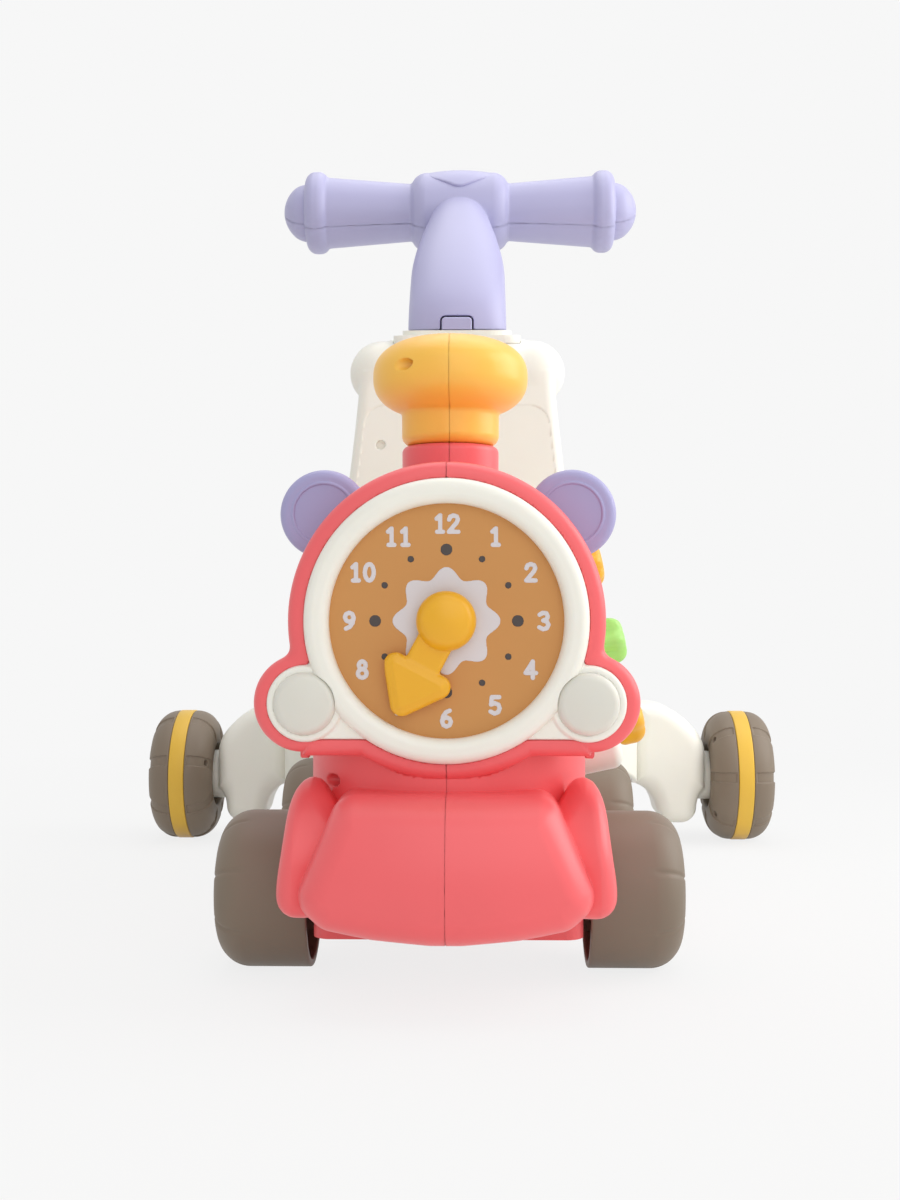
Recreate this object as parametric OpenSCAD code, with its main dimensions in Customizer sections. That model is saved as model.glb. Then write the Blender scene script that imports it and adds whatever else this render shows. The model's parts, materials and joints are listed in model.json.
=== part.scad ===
// Ride on train for a toddler, with a push handle behind it.
// Frame: X is to the viewer's right when the clock face is looked at, Y runs to the back, Z is up.
// The origin lies on the floor, under the middle of the whole train.

/* [Running gear] */
// Diameter of the front and middle rollers
roller_d = 72; // [66:1:78]
// Width of a roller
roller_w = 43.5; // [40:0.5:48]
// Gap between the bottom pan and a roller
roller_gap = 3.3; // [2.5:0.1:6]
// Radius of a roller's outer shoulder
roller_shoulder = 14; // [8:1:15]
// Wall of a roller's tread and of its end
roller_wall = 4; // [3:0.5:6]
// Radius of a roller's hub
roller_hub_r = 10; // [9:0.5:12]
// Diameter of the two roller axles
axle_d = 8; // [6:0.5:9]
// Distance from the front axle back to the middle axle
mid_axle_back = 222; // [214:1:226]
// Distance from the front axle back to the rear axle
rear_axle_back = 363; // [355:1:380]
// Diameter of a rear wheel over its band
rear_wheel_d = 91.2; // [88:0.2:98]
// Width of a rear wheel
rear_wheel_w = 43.5; // [42:0.5:48]
// Width of the yellow band
rear_band_w = 10.5; // [9:0.5:12]
// Thickness of the yellow band
rear_band_t = 7.6; // [6:0.2:9]
// Round of a rear wheel's shoulder
rear_shoulder = 21; // [19:0.5:22]
// Diameter of a rear stub axle
rear_axle_d = 10; // [8:0.5:12]

/* [Bottom pan] */
// Width of the pan
pan_w = 120; // [116:1:126]
// Height of the pan's underside above the floor
pan_under = 21; // [18:1:23]
// Height of the pan's rim
pan_rim = 78; // [76:1:82]
// How far the pan reaches in front of the front axle
pan_front = 40; // [38:1:42]
// How far the pan reaches behind the front axle
pan_back = 262; // [258:1:268]
// Wall of the pan
pan_wall = 3; // [2:0.5:4]
// Corner radius of the pan
pan_corner = 8; // [6:1:12]

/* [Bumper] */
// How far the bumper reaches in front of the front axle
front_reach = 100; // [94:1:108]
// Height of the bumper's top edge
bumper_top = 89; // [86:1:91]
// Height of the bumper's lower edge
bumper_base = 28.5; // [26:0.5:32]
// Half width of the bumper's top edge
bumper_top_half = 48.5; // [44:0.5:52]
// Half width of the bumper where it is widest
bumper_wide_half = 60.6; // [57:0.2:64]
// Height at which the bumper is widest
bumper_wide_z = 46.5; // [44:0.5:50]
// Edge round of the bumper
bumper_round = 11; // [9:1:14]
// Round of the bumper's nose
nose_round = 26; // [22:1:30]
// Half width over the fenders
fender_half = 72; // [70:1:76]
// Height of a fender's top
fender_top = 97; // [94:1:99]
// Height of a fender's foot
fender_base = 35; // [32:1:38]
// Radius of a fender's roll
fender_round = 10; // [8:1:12]

/* [Boiler] */
// Height of the boiler's axis
boiler_z = 161.7; // [158:0.1:166]
// Radius of the boiler's barrel
barrel_r = 64; // [62:0.5:65]
// Wall of the moulded shells
shell_wall = 3; // [2:0.5:4]
// How far the barrel reaches behind the front axle
boiler_back = 62; // [58:1:63]
// How far the round bezel stands out beyond the barrel
bezel_lip = 3.3; // [2:0.1:5]
// How far the bezel reaches in front of the front axle
bezel_front = 70; // [68:1:74]
// Depth of the bezel
bezel_depth = 25; // [22:1:26]
// Radius of a lamp lobe
lobe_r = 20.8; // [20:0.1:23]
// Distance from the centre plane to a lamp lobe's axis
lobe_x = 61; // [59:0.5:63]
// Height of the lamps' axes
lamp_z = 127; // [125:0.5:129]
// Height of the bezel's straight foot
bezel_foot = 104.6; // [103:0.1:107]
// Half width of the neck
neck_half = 59; // [57:0.5:60]
// Round of the neck's front, seen from above
neck_round = 62; // [61:0.5:66]
// How far the neck reaches in front of the front axle
neck_front = 65; // [62:1:66]

/* [Clock face] */
// Outer radius of the ring round the dial
face_ring_r = 60; // [59:0.1:61]
// Inner radius of that ring
dial_open_r = 49.4; // [47:0.1:50]
// How far the ring stands in front of the front axle
face_front = 75; // [74:0.5:78]
// Depth of the plate behind the ring's crown
face_plate_t = 7.5; // [7:0.5:9]
// Distance from the centre plane to a lamp's axis
lamp_x = 59.4; // [58:0.1:61]
// Outer radius of a lamp ring
lamp_ring_r = 16; // [15.8:0.1:17]
// Radius of a lamp button
lamp_r = 13.2; // [12.5:0.1:13.6]
// Travel of a lamp button
lamp_travel = 2.5; // [1:0.5:2.5]
// Height of the face plate's straight foot
plate_foot = 112; // [111:0.5:114]
// Thickness of the dial
dial_t = 3; // [2:0.5:3.5]
// Radius of the hand's knob
hand_knob_r = 12.6; // [11:0.2:14]
// Distance from the dial's centre to the hand's tip
hand_reach = 44.6; // [40:0.2:46]
// Width of the hand's stem
hand_stem_w = 15.5; // [12:0.5:18]
// Width of the hand's head
hand_head_w = 27.5; // [24:0.5:30]
// Length of the hand's head
hand_head_l = 23; // [20:0.5:26]
// Thickness of the hand
hand_t = 6; // [4:0.5:7]
// Angle of the hand at rest, clockwise from twelve
hand_angle = 205; // [0:5:355]

/* [Ears and chimney] */
// Radius of an ear
ear_r = 18.9; // [17:0.1:21]
// How far an ear's middle lies outside the barrel
ear_out = 8; // [6:0.5:10]
// Angle of an ear, up from the boiler's side
ear_angle = 41; // [38:1:44]
// Thickness of an ear
ear_t = 14; // [10:1:18]
// Width of an ear's raised rim
ear_rim = 4; // [3:0.5:6]
// How far the chimney's axis lies behind the front axle
chimney_back = 10; // [6:1:16]
// Largest radius of the chimney
bulb_r = 35.5; // [32:0.5:38]
// Height of the chimney's widest place
bulb_z = 276; // [274:1:279]
// Round of the chimney's edge
bulb_round = 19; // [17:0.5:20]
// Radius of the chimney's neck
chimney_neck_r = 22.5; // [21.5:0.5:24]
// Height of the collar that carries the chimney
collar_top = 243; // [240:1:246]

/* [Seat and backrest] */
// Height of the body under the seat
body_top = 178; // [172:1:182]
// Half width of the body at its back
body_back_half = 74; // [70:1:78]
// How far the body reaches behind the front axle
body_back = 250; // [246:1:254]
// Thickness of the seat
seat_t = 14; // [10:1:18]
// Corner radius of the seat
seat_corner = 14; // [10:1:18]
// Length of the seat
seat_l = 118; // [110:1:119]
// How far the backrest's front lies behind the front axle
backrest_front = 185; // [183:1:188]
// Half width of the backrest under its roll
backrest_top_half = 58; // [54:0.5:60]
// Depth of the backrest under its roll
backrest_top_t = 36; // [32:1:40]
// Edge round of the backrest
backrest_round = 8; // [6:1:10]
// Radius of the roll on the backrest
roll_r = 19.5; // [18:0.5:21]
// Height of the roll's axis
roll_z = 308; // [304:1:312]
// How far the roll's axis lies behind the front axle
roll_back = 203; // [201:1:206]
// Half length of the roll
roll_half = 65; // [60:0.5:70]

/* [Rear deck and legs] */
// Half width of the rear deck
deck_half = 123; // [118:1:128]
// Height of the deck's top
deck_top = 98; // [96:1:104]
// Height of the deck's underside
deck_under = 43; // [40:1:46]
// Depth of the deck and of the legs
deck_depth = 52; // [48:1:56]
// How far a leg reaches beyond the deck
leg_w = 47.2; // [44:0.2:50]
// Width of a leg's upright
leg_upright_w = 35; // [32:1:38]
// Height of a leg's foot above the floor
leg_foot = 14; // [10:1:18]
// Round of a leg's upper outer corner
leg_round = 36; // [30:1:38]
// Round of a leg's foot
leg_foot_round = 9; // [6:1:12]

/* [Push handle] */
// How far the handle's bar lies behind the front axle
hub_back = 305; // [296:1:314]
// Height of the handle's bar
hub_z = 433; // [426:0.5:446]
// Width of the hub
hub_w = 66; // [62:1:70]
// Radius of the hub
hub_r = 26; // [25:0.5:29]
// Half length of the bar with its end knobs
bar_half = 119; // [112:1:126]
// Radius of a grip beside the hub
grip_in_r = 18.9; // [17:0.1:20]
// Radius of a grip beside its flange
grip_out_r = 23.3; // [21:0.1:24]
// Radius of a grip's flange
flange_r = 27; // [25.5:0.5:29]
// Width of a grip's flange
flange_w = 15; // [12:1:17]
// Height of an end knob
knob_h = 11.6; // [9:0.2:13]
// Radius of an end knob
knob_r = 20; // [18:0.5:22]
// Width of the column at its foot
column_w = 59.6; // [56:0.4:62]
// Depth of the column at its foot
column_t = 38; // [36:1:40]
// Width of the column under the hub
column_end_w = 50; // [47:1:54]
// Depth of the column under the hub
column_end_t = 36; // [32:1:40]
// Height of the column's foot
column_foot_z = 334; // [332:1:337]
// Forward tilt of the handle's plug and sleeve
socket_tilt = 8.5; // [6:0.5:10]
// Lean of the column under the hub, from the vertical
column_lean = 54; // [48:1:58]
// Width of the plug
plug_w = 40; // [36:1:42]
// Depth of the plug
plug_t = 20; // [18:0.5:21]
// Length of the plug
plug_l = 55; // [45:1:58]
// Width of the release button
button_w = 18; // [15:0.5:20]
// Height of the release button
button_h = 7.6; // [6.4:0.2:9]
// Travel of the release button
button_travel = 3; // [2:0.5:3]

/* [Side spinners] */
// Radius of a spinner over its lobes
spinner_r = 12.3; // [11:0.1:13]
// Height of a spinner above the panel
spinner_h = 15; // [13:0.5:17]
// Distance between the spinners' axes
spinner_pitch = 39; // [34:0.5:40]
// Height of the middle spinner's foot
spinner_mid_z = 149; // [147:0.5:151]
// Lean of the panel, from the vertical
panel_tilt = 12.5; // [10:0.5:13]
// How far the panel's front edge lies behind the front axle
panel_front = 5; // [3:1:8]
// Length of the panel
panel_l = 54; // [50:1:54]
// Height of the panel's foot
panel_foot = 87; // [86:0.5:90]
// Height of the panel's head
panel_head = 206; // [205:0.5:208]
// How far the panel's foot stands out beyond the barrel
panel_stand = 20; // [19:0.5:22]

/* [Hidden] */
$fn = 48;

// Smoothness of the blended shells
blend_fn = 20;
// How far a cut runs past what it cuts
overrun = 2;
// Clearance between pieces that move on each other
run_gap = 0.3;
// Clearance between fixed mouldings
fit_gap = 0.2;
// Radial clearance of a wheel on its axle
axle_gap = 0.1;

red = "#F26B6E";
ivory = "#F3F2EA";
lavender = "#C3C0E4";
violet = "#A89CC8";
orange = "#F5B040";
yellow = "#E5AE35";
taupe = "#8A7B70";
brown = "#C68E54";
green = "#A8E07A";
steel = "#B8BCC0";
dark = "#4A4240";

// Places worked out from the driving dimensions
roller_r = roller_d / 2;
rear_r = rear_wheel_d / 2;
axle_r = axle_d / 2;
rear_axle_r = rear_axle_d / 2;
front_axle_y = front_reach - (front_reach + rear_axle_back + rear_r) / 2;
pan_half = pan_w / 2;
roller_in_x = pan_half + roller_gap;
leg_out = deck_half + leg_w;

// Things that slide, turn or sit along the width
module at(back, up) translate([0, front_axle_y + back, up]) children();

module on_side(s) {
    if (s < 0) mirror([1, 0, 0]) children();
    else children();
}

// A rod along X, along Y, and a block between two corners
module rod_x(r, x0, x1) translate([x0, 0, 0]) rotate([0, 90, 0]) cylinder(r = r, h = x1 - x0);

module rod_y(r, y0, y1) translate([0, y0, 0]) rotate([-90, 0, 0]) cylinder(r = r, h = y1 - y0);

module block(a, b) translate(a) cube(b - a);

// An outline in X and Z drawn out along Y, and one in Y and Z drawn out along X
module drawn_y(y0, y1) translate([0, y1, 0]) rotate([90, 0, 0]) linear_extrude(y1 - y0) children();

module drawn_x(x0, x1) translate([x0, 0, 0]) rotate([90, 0, 90]) linear_extrude(x1 - x0) children();

// A profile of radius and place along the axis, turned about X
module turned_x() rotate([0, 90, 0]) rotate_extrude() children();

// A rectangle about its middle with true round corners
module round_rect(w, h, r) {
    square([w - 2 * r, h], center = true);
    square([w, h - 2 * r], center = true);
    for (x = [-1, 1], y = [-1, 1]) translate([x * (w / 2 - r), y * (h / 2 - r)]) circle(r);
}

// Everything to one side of the centre plane
half_reach = 300;
module half(s) {
    intersection() {
        children();
        on_side(s) translate([0, -half_reach, -half_reach / 2]) cube(2 * half_reach);
    }
}

// A self-tapping screw along X with its head at x0, driven towards +X
screw_r = 1.5;
screw_head_r = 3;
screw_head_h = 2.2;
module screw_x(x0, l) {
    rod_x(screw_head_r, x0, x0 + screw_head_h);
    rod_x(screw_r, x0, x0 + l);
}

// Bottom pan, axles and their caps
tunnel_r = 9;
thrust_gap = run_gap;
roller_hub_inset = 2;
thrust_x = roller_in_x + roller_hub_inset - thrust_gap;
cap_r = 9;
cap_t = 5;
cap_pocket = 7;
cap_bite = 3.5;
cap_x = roller_in_x + roller_w - cap_pocket + thrust_gap;
hatch_w = 54;
hatch_l = 60;
hatch_back = 123;
grille_hole_r = 2;
grille_ring_r = 9;
grille_holes = 6;
speaker_back = 42;

module pan_plan(inset) {
    l = pan_front + pan_back;
    translate([0, front_axle_y - pan_front + l / 2])
        round_rect(pan_w - 2 * inset, l - 2 * inset, pan_corner - inset);
}

module chassis_pan() color(red) difference() {
    union() {
        difference() {
            translate([0, 0, pan_under]) linear_extrude(pan_rim - pan_under) pan_plan(0);
            translate([0, 0, pan_under + pan_wall])
                linear_extrude(pan_rim - pan_under) pan_plan(pan_wall);
        }
        for (b = [0, mid_axle_back]) at(b, roller_r) rod_x(tunnel_r, -thrust_x, thrust_x);
    }
    for (b = [0, mid_axle_back]) at(b, roller_r) rod_x(axle_r, -thrust_x - overrun, thrust_x + overrun);
    at(hatch_back, pan_under) block([-hatch_w / 2, -hatch_l / 2, -overrun],
        [hatch_w / 2, hatch_l / 2, pan_wall + overrun]);
    at(speaker_back, pan_under) for (i = [0 : grille_holes])
        rotate([0, 0, i * 360 / grille_holes])
            translate([i == grille_holes ? 0 : grille_ring_r, 0, -overrun])
            cylinder(r = grille_hole_r, h = pan_wall + 2 * overrun);
}

module roller_axle(back) color(steel) at(back, roller_r)
    rod_x(axle_r, -cap_x - cap_bite, cap_x + cap_bite);
module front_axle() roller_axle(0);
module middle_axle() roller_axle(mid_axle_back);

module axle_caps() color(taupe) for (b = [0, mid_axle_back], s = [-1, 1]) at(b, roller_r) on_side(s)
    difference() {
        rod_x(cap_r, cap_x, cap_x + cap_t);
        rod_x(axle_r, cap_x - overrun, cap_x + cap_bite);
    }

// A roller is a cup, open towards the train, with ribs from its hub to its tread
roller_ribs = 6;
rib_t = 2.4;
rib_inset = 10;
cap_pocket_r = 11;
groove_w = 2.4;
groove_depth = 1.6;
scallop_share = 0.62;

module roller_profile() difference() {
    union() {
        square([roller_r - roller_shoulder, roller_w]);
        square([roller_r, roller_w - roller_shoulder]);
        translate([roller_r - roller_shoulder, roller_w - roller_shoulder]) circle(roller_shoulder);
    }
    translate([roller_hub_r, -overrun])
        square([roller_r - roller_wall - roller_hub_r, roller_w - cap_pocket - roller_wall + overrun]);
    translate([-overrun, -overrun]) square([roller_hub_r + 2 * overrun, roller_hub_inset + overrun]);
    translate([0, -overrun]) square([axle_r + axle_gap, roller_w + 2 * overrun]);
    translate([0, roller_w - cap_pocket]) square([cap_pocket_r, cap_pocket + overrun]);
}

module roller(s, back) color(taupe) at(back, roller_r) on_side(s) translate([roller_in_x, 0, 0])
    difference() {
    union() {
        turned_x() roller_profile();
        for (i = [0 : roller_ribs - 1]) rotate([i * 360 / roller_ribs, 0, 0])
            block([rib_inset, -rib_t / 2, roller_hub_r - rib_t / 2],
                  [roller_w - cap_pocket - rib_t, rib_t / 2, roller_r - roller_wall + rib_t / 2]);
    }
    for (i = [0 : roller_ribs - 1]) rotate([i * 360 / roller_ribs, 0, 0])
        block([roller_w - groove_depth, -groove_w / 2, cap_pocket_r + groove_w],
              [roller_w + overrun, groove_w / 2, roller_r * scallop_share]);
}

module front_roller_left() roller(-1, 0);
module front_roller_right() roller(1, 0);
module middle_roller_left() roller(-1, mid_axle_back);
module middle_roller_right() roller(1, mid_axle_back);

// Bumper with its fender, one moulding on each side of the centre seam
bumper_mid = 66;
bumper_low_round = 11;
bumper_low_half = 50;
bumper_back = pan_front + fit_gap;
fender_front = 77;
fender_back = 44;
fender_head_x = 52;
fender_shoulder_x = 59;
fender_shoulder_z = 79;

// Outlines from the front, and the nose from the side, grown evenly
module bumper_outline(grow) hull() for (s = [-1, 1]) {
    translate([s * (bumper_top_half - bumper_round), bumper_top - bumper_round])
        circle(bumper_round + grow, $fn = 2 * blend_fn);
    translate([s * (bumper_wide_half - bumper_round), bumper_wide_z])
        circle(bumper_round + grow, $fn = 2 * blend_fn);
    translate([s * (bumper_low_half - bumper_low_round), bumper_base + bumper_low_round])
        circle(bumper_low_round + grow, $fn = 2 * blend_fn);
}

module nose_outline(grow) hull() {
    translate([nose_round - front_reach, (bumper_top + bumper_base) / 2])
        circle(nose_round + grow, $fn = 2 * blend_fn);
    translate([-bumper_mid, bumper_base - grow])
        square([bumper_mid - bumper_back - grow, bumper_top - bumper_base + 2 * grow]);
}

module fender_outline(grow) hull() {
    translate([fender_half - fender_round, fender_base + fender_round])
        circle(fender_round + grow, $fn = 2 * blend_fn);
    translate([fender_shoulder_x, fender_shoulder_z]) circle(fender_round + grow, $fn = 2 * blend_fn);
    translate([fender_head_x, fender_top - fender_round])
        circle(fender_round + grow, $fn = 2 * blend_fn);
}

module bumper_form(grow, x0) intersection() {
    drawn_y(-front_reach - overrun, -bumper_back - grow) bumper_outline(grow);
    drawn_x(x0, bumper_wide_half + overrun) nose_outline(grow);
}

module bumper(s) color(red) on_side(s) at(0, 0) difference() {
    union() {
        bumper_form(0, 0);
        drawn_y(-fender_front, -fender_back) fender_outline(0);
    }
    bumper_form(-shell_wall, -overrun);
    drawn_y(shell_wall - fender_front, overrun - fender_back) fender_outline(-shell_wall);
    translate([0, -neck_mid, bumper_top + fit_gap]) cylinder(r = neck_round + fit_gap, h = fender_top);
}

module bumper_left() bumper(-1);
module bumper_right() bumper(1);

// Boiler with its bezel, neck and chimney collar, split on the centre plane
neck_mid = neck_front - neck_round;
bezel_back = bezel_front - bezel_depth;
bezel_r = barrel_r + bezel_lip;
seat_shelf = 64;
shelf_t = 3;
shelf_lip = 3;
collar_r = chimney_neck_r + fit_gap;
spigot_r = 18;
spigot_l = 14;
boss_r = 4.2;
boiler_bosses = [[-20, 112], [45, 112], [45, 206]];
boss_step = 8;

// Outline of the bezel and of what sits in it, grown evenly
module bezel_outline(grow) {
    translate([0, boiler_z]) circle(bezel_r + grow);
    for (s = [-1, 1]) translate([s * lobe_x, lamp_z]) circle(lobe_r + grow);
    translate([-lobe_x, bezel_foot - grow]) square([2 * lobe_x, lamp_z - bezel_foot + grow]);
}

module plate_outline(grow) {
    translate([0, boiler_z]) circle(face_ring_r + grow);
    for (s = [-1, 1]) translate([s * lamp_x, lamp_z]) circle(lamp_ring_r + grow);
    translate([-lamp_x, plate_foot - grow]) square([2 * lamp_x, lamp_z - plate_foot + grow]);
}

module neck_plan(inset) {
    translate([-neck_half + inset, front_axle_y]) square([2 * (neck_half - inset), boiler_back - inset]);
    intersection() {
        translate([0, front_axle_y - neck_mid]) circle(neck_round - inset);
        translate([-neck_half + inset, front_axle_y - neck_front])
            square([2 * (neck_half - inset), neck_front + overrun]);
    }
}

module boiler_outside() {
    at(0, boiler_z) rod_y(barrel_r, -bezel_front + overrun, boiler_back);
    translate([0, front_axle_y, 0]) drawn_y(-bezel_front, -bezel_back) bezel_outline(0);
    translate([0, 0, pan_rim]) linear_extrude(boiler_z - pan_rim) neck_plan(0);
    at(chimney_back, boiler_z) cylinder(r = collar_r, h = collar_top - boiler_z);
}

module boiler_inside() {
    at(0, boiler_z) rod_y(barrel_r - shell_wall, -seat_shelf + shelf_t, boiler_back - shell_wall);
    translate([0, front_axle_y, 0]) {
        drawn_y(-bezel_front - overrun, -seat_shelf) plate_outline(fit_gap);
        drawn_y(-seat_shelf - overrun, -seat_shelf + shelf_t + overrun) plate_outline(-shelf_lip);
        for (s = [-1, 1]) translate([s * lamp_x, 0, lamp_z])
            rod_y(lamp_ring_r, -seat_shelf - overrun, -seat_shelf + shelf_t);
        drawn_y(-seat_shelf + shelf_t, -bezel_back - shell_wall) bezel_outline(-shell_wall);
    }
    translate([0, 0, pan_rim - overrun]) linear_extrude(boiler_z - pan_rim) neck_plan(shell_wall);
    at(chimney_back, boiler_z) cylinder(r = spigot_r + fit_gap, h = collar_top);
    at(-neck_front, 0) block([-pan_half, -overrun, 0],
        [pan_half, neck_front - pan_front, bumper_top + fit_gap]);
}

// Width of the boiler's shell at a boss
function boiler_half_at(z) = z < boiler_z ? neck_half : sqrt(pow(barrel_r, 2) - pow(z - boiler_z, 2));

module boiler(s) color(red) difference() {
    half(s) {
        difference() {
            boiler_outside();
            boiler_inside();
        }
        for (b = boiler_bosses) at(b[0], b[1])
            rod_x(boss_r, -boiler_half_at(b[1]) + shell_wall / 2, boiler_half_at(b[1]) - shell_wall / 2);
    }
    for (b = boiler_bosses) at(b[0], b[1]) {
        rod_x(screw_r, -pan_half - overrun, boss_step + screw_head_h);
        rod_x(screw_head_r + fit_gap, -barrel_r - overrun, -boss_step);
    }
}

module boiler_left() boiler(-1);
module boiler_right() boiler(1);

module boiler_screws() color(steel) for (b = boiler_bosses) at(b[0], b[1])
    screw_x(-boss_step - screw_head_h, 2 * boss_step + screw_head_h);

// Face plate, dial, hand, lamp buttons and what lies behind them
plate_back = seat_shelf + fit_gap;
plate_front = plate_back + face_plate_t;
crown_chord = (face_ring_r - dial_open_r) / 2;
crown_h = face_front - plate_front;
crown_edge = 0.4;
crown_root = 1;
crown_r = (pow(crown_chord, 2) + pow(crown_h, 2)) / (2 * crown_h);
dial_r = dial_open_r + shelf_lip - fit_gap;
dial_front = face_front - crown_h - dial_t;
dial_back = dial_front - dial_t;
post_x = 36;
post_z = 119;
post_r = 2.6;
board_front = 55;
board_t = 1.6;
board_half = 72;
board_h = 20;
lamp_flange = 1.6;
lamp_flange_t = 2;
lamp_crown = 1.4;
lamp_stem_r = 4;
lamp_front = plate_front + crown_h / 2;
lamp_skirt = plate_back + lamp_flange_t;
lamp_stem_end = 60.5;
pad_r = 6;

module face_plate() color(ivory) translate([0, front_axle_y, 0]) difference() {
    union() {
        drawn_y(-plate_front, -plate_back) plate_outline(0);
        translate([0, 0, boiler_z]) rotate([90, 0, 0]) rotate_extrude() intersection() {
            translate([dial_open_r + crown_chord, face_front - crown_r]) circle(crown_r);
            translate([dial_open_r + crown_edge, plate_front - crown_root])
                square([2 * (crown_chord - crown_edge), crown_h + crown_root + overrun]);
        }
        for (s = [-1, 1]) translate([s * post_x, 0, post_z])
            rod_y(post_r, -plate_back - overrun, -board_front);
    }
    translate([0, 0, boiler_z]) {
        rod_y(dial_open_r, -face_front - overrun, 0);
        rod_y(dial_r + fit_gap, -dial_front, 0);
    }
    for (s = [-1, 1]) translate([s * lamp_x, 0, lamp_z]) {
        rod_y(lamp_r + run_gap, -face_front - overrun, 0);
        rod_y(lamp_r + lamp_flange + run_gap, -lamp_skirt - run_gap, 0);
    }
}

spindle_r = 4;
clip_r = 8;
clip_t = 2;
hand_back = dial_front + run_gap;
hand_front = hand_back + hand_t;
knob_crown = 4;
spindle_end = dial_back - run_gap - clip_t - run_gap;
head_round = 4;

module dial() color(brown) at(0, boiler_z) difference() {
    rod_y(dial_r, -dial_front, -dial_back);
    rod_y(spindle_r + axle_gap, -dial_front - overrun, -dial_back + overrun);
}

// The hand's head is a triangle with round corners, wider than its stem
module hand_outline() {
    translate([-hand_stem_w / 2, 0]) square([hand_stem_w, hand_reach - hand_head_l + head_round]);
    hull() {
        for (x = [-1, 1])
            translate([x * (hand_head_w / 2 - head_round), hand_reach - hand_head_l + head_round])
            circle(head_round);
        translate([0, hand_reach - head_round]) circle(head_round);
    }
}

module clock_hand() color(yellow) at(0, boiler_z) {
    rotate([0, hand_angle, 0]) drawn_y(-hand_front, -hand_back) hand_outline();
    rod_y(hand_knob_r, -hand_front - knob_crown / 2, -hand_back);
    rotate([90, 0, 0]) translate([0, 0, hand_front])
        cylinder(r1 = hand_knob_r, r2 = hand_knob_r - knob_crown, h = knob_crown);
    rod_y(spindle_r, -hand_back - overrun, -spindle_end);
}

module hand_clip() color(steel) at(0, boiler_z) difference() {
    rod_y(clip_r, -dial_back + run_gap, -dial_back + run_gap + clip_t);
    rod_y(spindle_r, -dial_back, -dial_back + run_gap + clip_t + overrun);
}

module lamp(s) color(ivory) translate([s * lamp_x, front_axle_y, lamp_z]) {
    rod_y(lamp_r, -lamp_front, -lamp_skirt + lamp_flange_t);
    rotate([90, 0, 0]) translate([0, 0, lamp_front])
        cylinder(r1 = lamp_r, r2 = lamp_r - 2 * lamp_crown, h = lamp_crown);
    rod_y(lamp_r + lamp_flange, -lamp_skirt, -lamp_skirt + lamp_flange_t);
    rod_y(lamp_stem_r, -lamp_skirt, -lamp_stem_end);
}

module lamp_left() lamp(-1);
module lamp_right() lamp(1);

module switch_pads() color(dark) for (s = [-1, 1]) translate([s * lamp_x, front_axle_y, lamp_z])
    rod_y(pad_r, -lamp_stem_end + lamp_travel + run_gap, -board_front);

module circuit_board() color("#3E8E5A") translate([0, front_axle_y, 0])
    block([-board_half, -board_front, lamp_z - board_h / 2 - board_t],
        [board_half, -board_front + board_t, lamp_z + board_h / 2 - board_t]);

// Ears, cut to sit on the barrel behind the bezel
ear_front = bezel_back - fit_gap;
ear_dish = 1.5;
ear_x = (barrel_r + ear_out) * cos(ear_angle);
ear_z = boiler_z + (barrel_r + ear_out) * sin(ear_angle);

module ear(s) color(violet) translate([0, front_axle_y, 0]) difference() {
    translate([s * ear_x, 0, ear_z]) difference() {
        rod_y(ear_r, -ear_front, -ear_front + ear_t);
        rod_y(ear_r - ear_rim, -ear_front - overrun, -ear_front + ear_dish);
    }
    translate([0, 0, boiler_z]) rod_y(barrel_r + fit_gap, -bezel_front, 0);
}

module ear_left() ear(-1);
module ear_right() ear(1);

// Chimney, turned in two halves
bulb_flat = 1.2;
chimney_wall = 3;

module chimney_profile(inset) {
    intersection() {
        union() {
            translate([bulb_r - bulb_round, bulb_z]) circle(bulb_round - inset);
            translate([0, bulb_z - bulb_round + bulb_flat + inset])
                square([bulb_r - bulb_round, 2 * (bulb_round - bulb_flat - inset)]);
        }
        translate([0, bulb_z - bulb_round]) square([bulb_r, 2 * bulb_round]);
    }
    translate([0, collar_top + inset]) square([chimney_neck_r - inset, bulb_z - collar_top - inset]);
}

module chimney(s) color(orange) at(chimney_back, 0) rotate([0, 0, s > 0 ? -90 : 90])
    rotate_extrude(angle = 180) difference() {
    union() {
        chimney_profile(0);
        translate([0, collar_top - spigot_l]) square([spigot_r, spigot_l + overrun]);
    }
    chimney_profile(chimney_wall);
    translate([0, collar_top - spigot_l - overrun]) square([spigot_r - chimney_wall, 2 * spigot_l]);
}

module chimney_left() chimney(-1);
module chimney_right() chimney(1);

// Speaker, battery box, cells and door, on the floor of the pan
speaker_r = 22;
speaker_rim_h = 4;
speaker_h = 16;
magnet_r = 13;
box_wall = 2;
cell_r = 7.2;
cell_l = 50;
cell_pitch = 15.4;
cells = 3;
door_t = 2.6;
pan_floor = pan_under + pan_wall;
box_w = cells * cell_pitch + 2 * box_wall + 2 * run_gap;
box_l = cell_l + 2 * box_wall + 2 * run_gap;
box_h = 2 * cell_r + box_wall + 2 * run_gap;

module speaker() color(dark) at(speaker_back, pan_floor) {
    cylinder(r = speaker_r, h = speaker_rim_h);
    cylinder(r = magnet_r, h = speaker_h);
}

module battery_box() color(dark) at(hatch_back, pan_floor) difference() {
    block([-hatch_w / 2 - box_wall, -hatch_l / 2 - box_wall, 0],
        [hatch_w / 2 + box_wall, hatch_l / 2 + box_wall, box_h]);
    block([-box_w / 2 + box_wall, -box_l / 2 + box_wall, -overrun],
        [box_w / 2 - box_wall, box_l / 2 - box_wall, box_h - box_wall]);
}

module battery_cells() color(steel) for (i = [0 : cells - 1])
    at(hatch_back, pan_floor + cell_r + run_gap) translate([(i - (cells - 1) / 2) * cell_pitch, 0, 0])
        rod_y(cell_r, -cell_l / 2, cell_l / 2);

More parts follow.
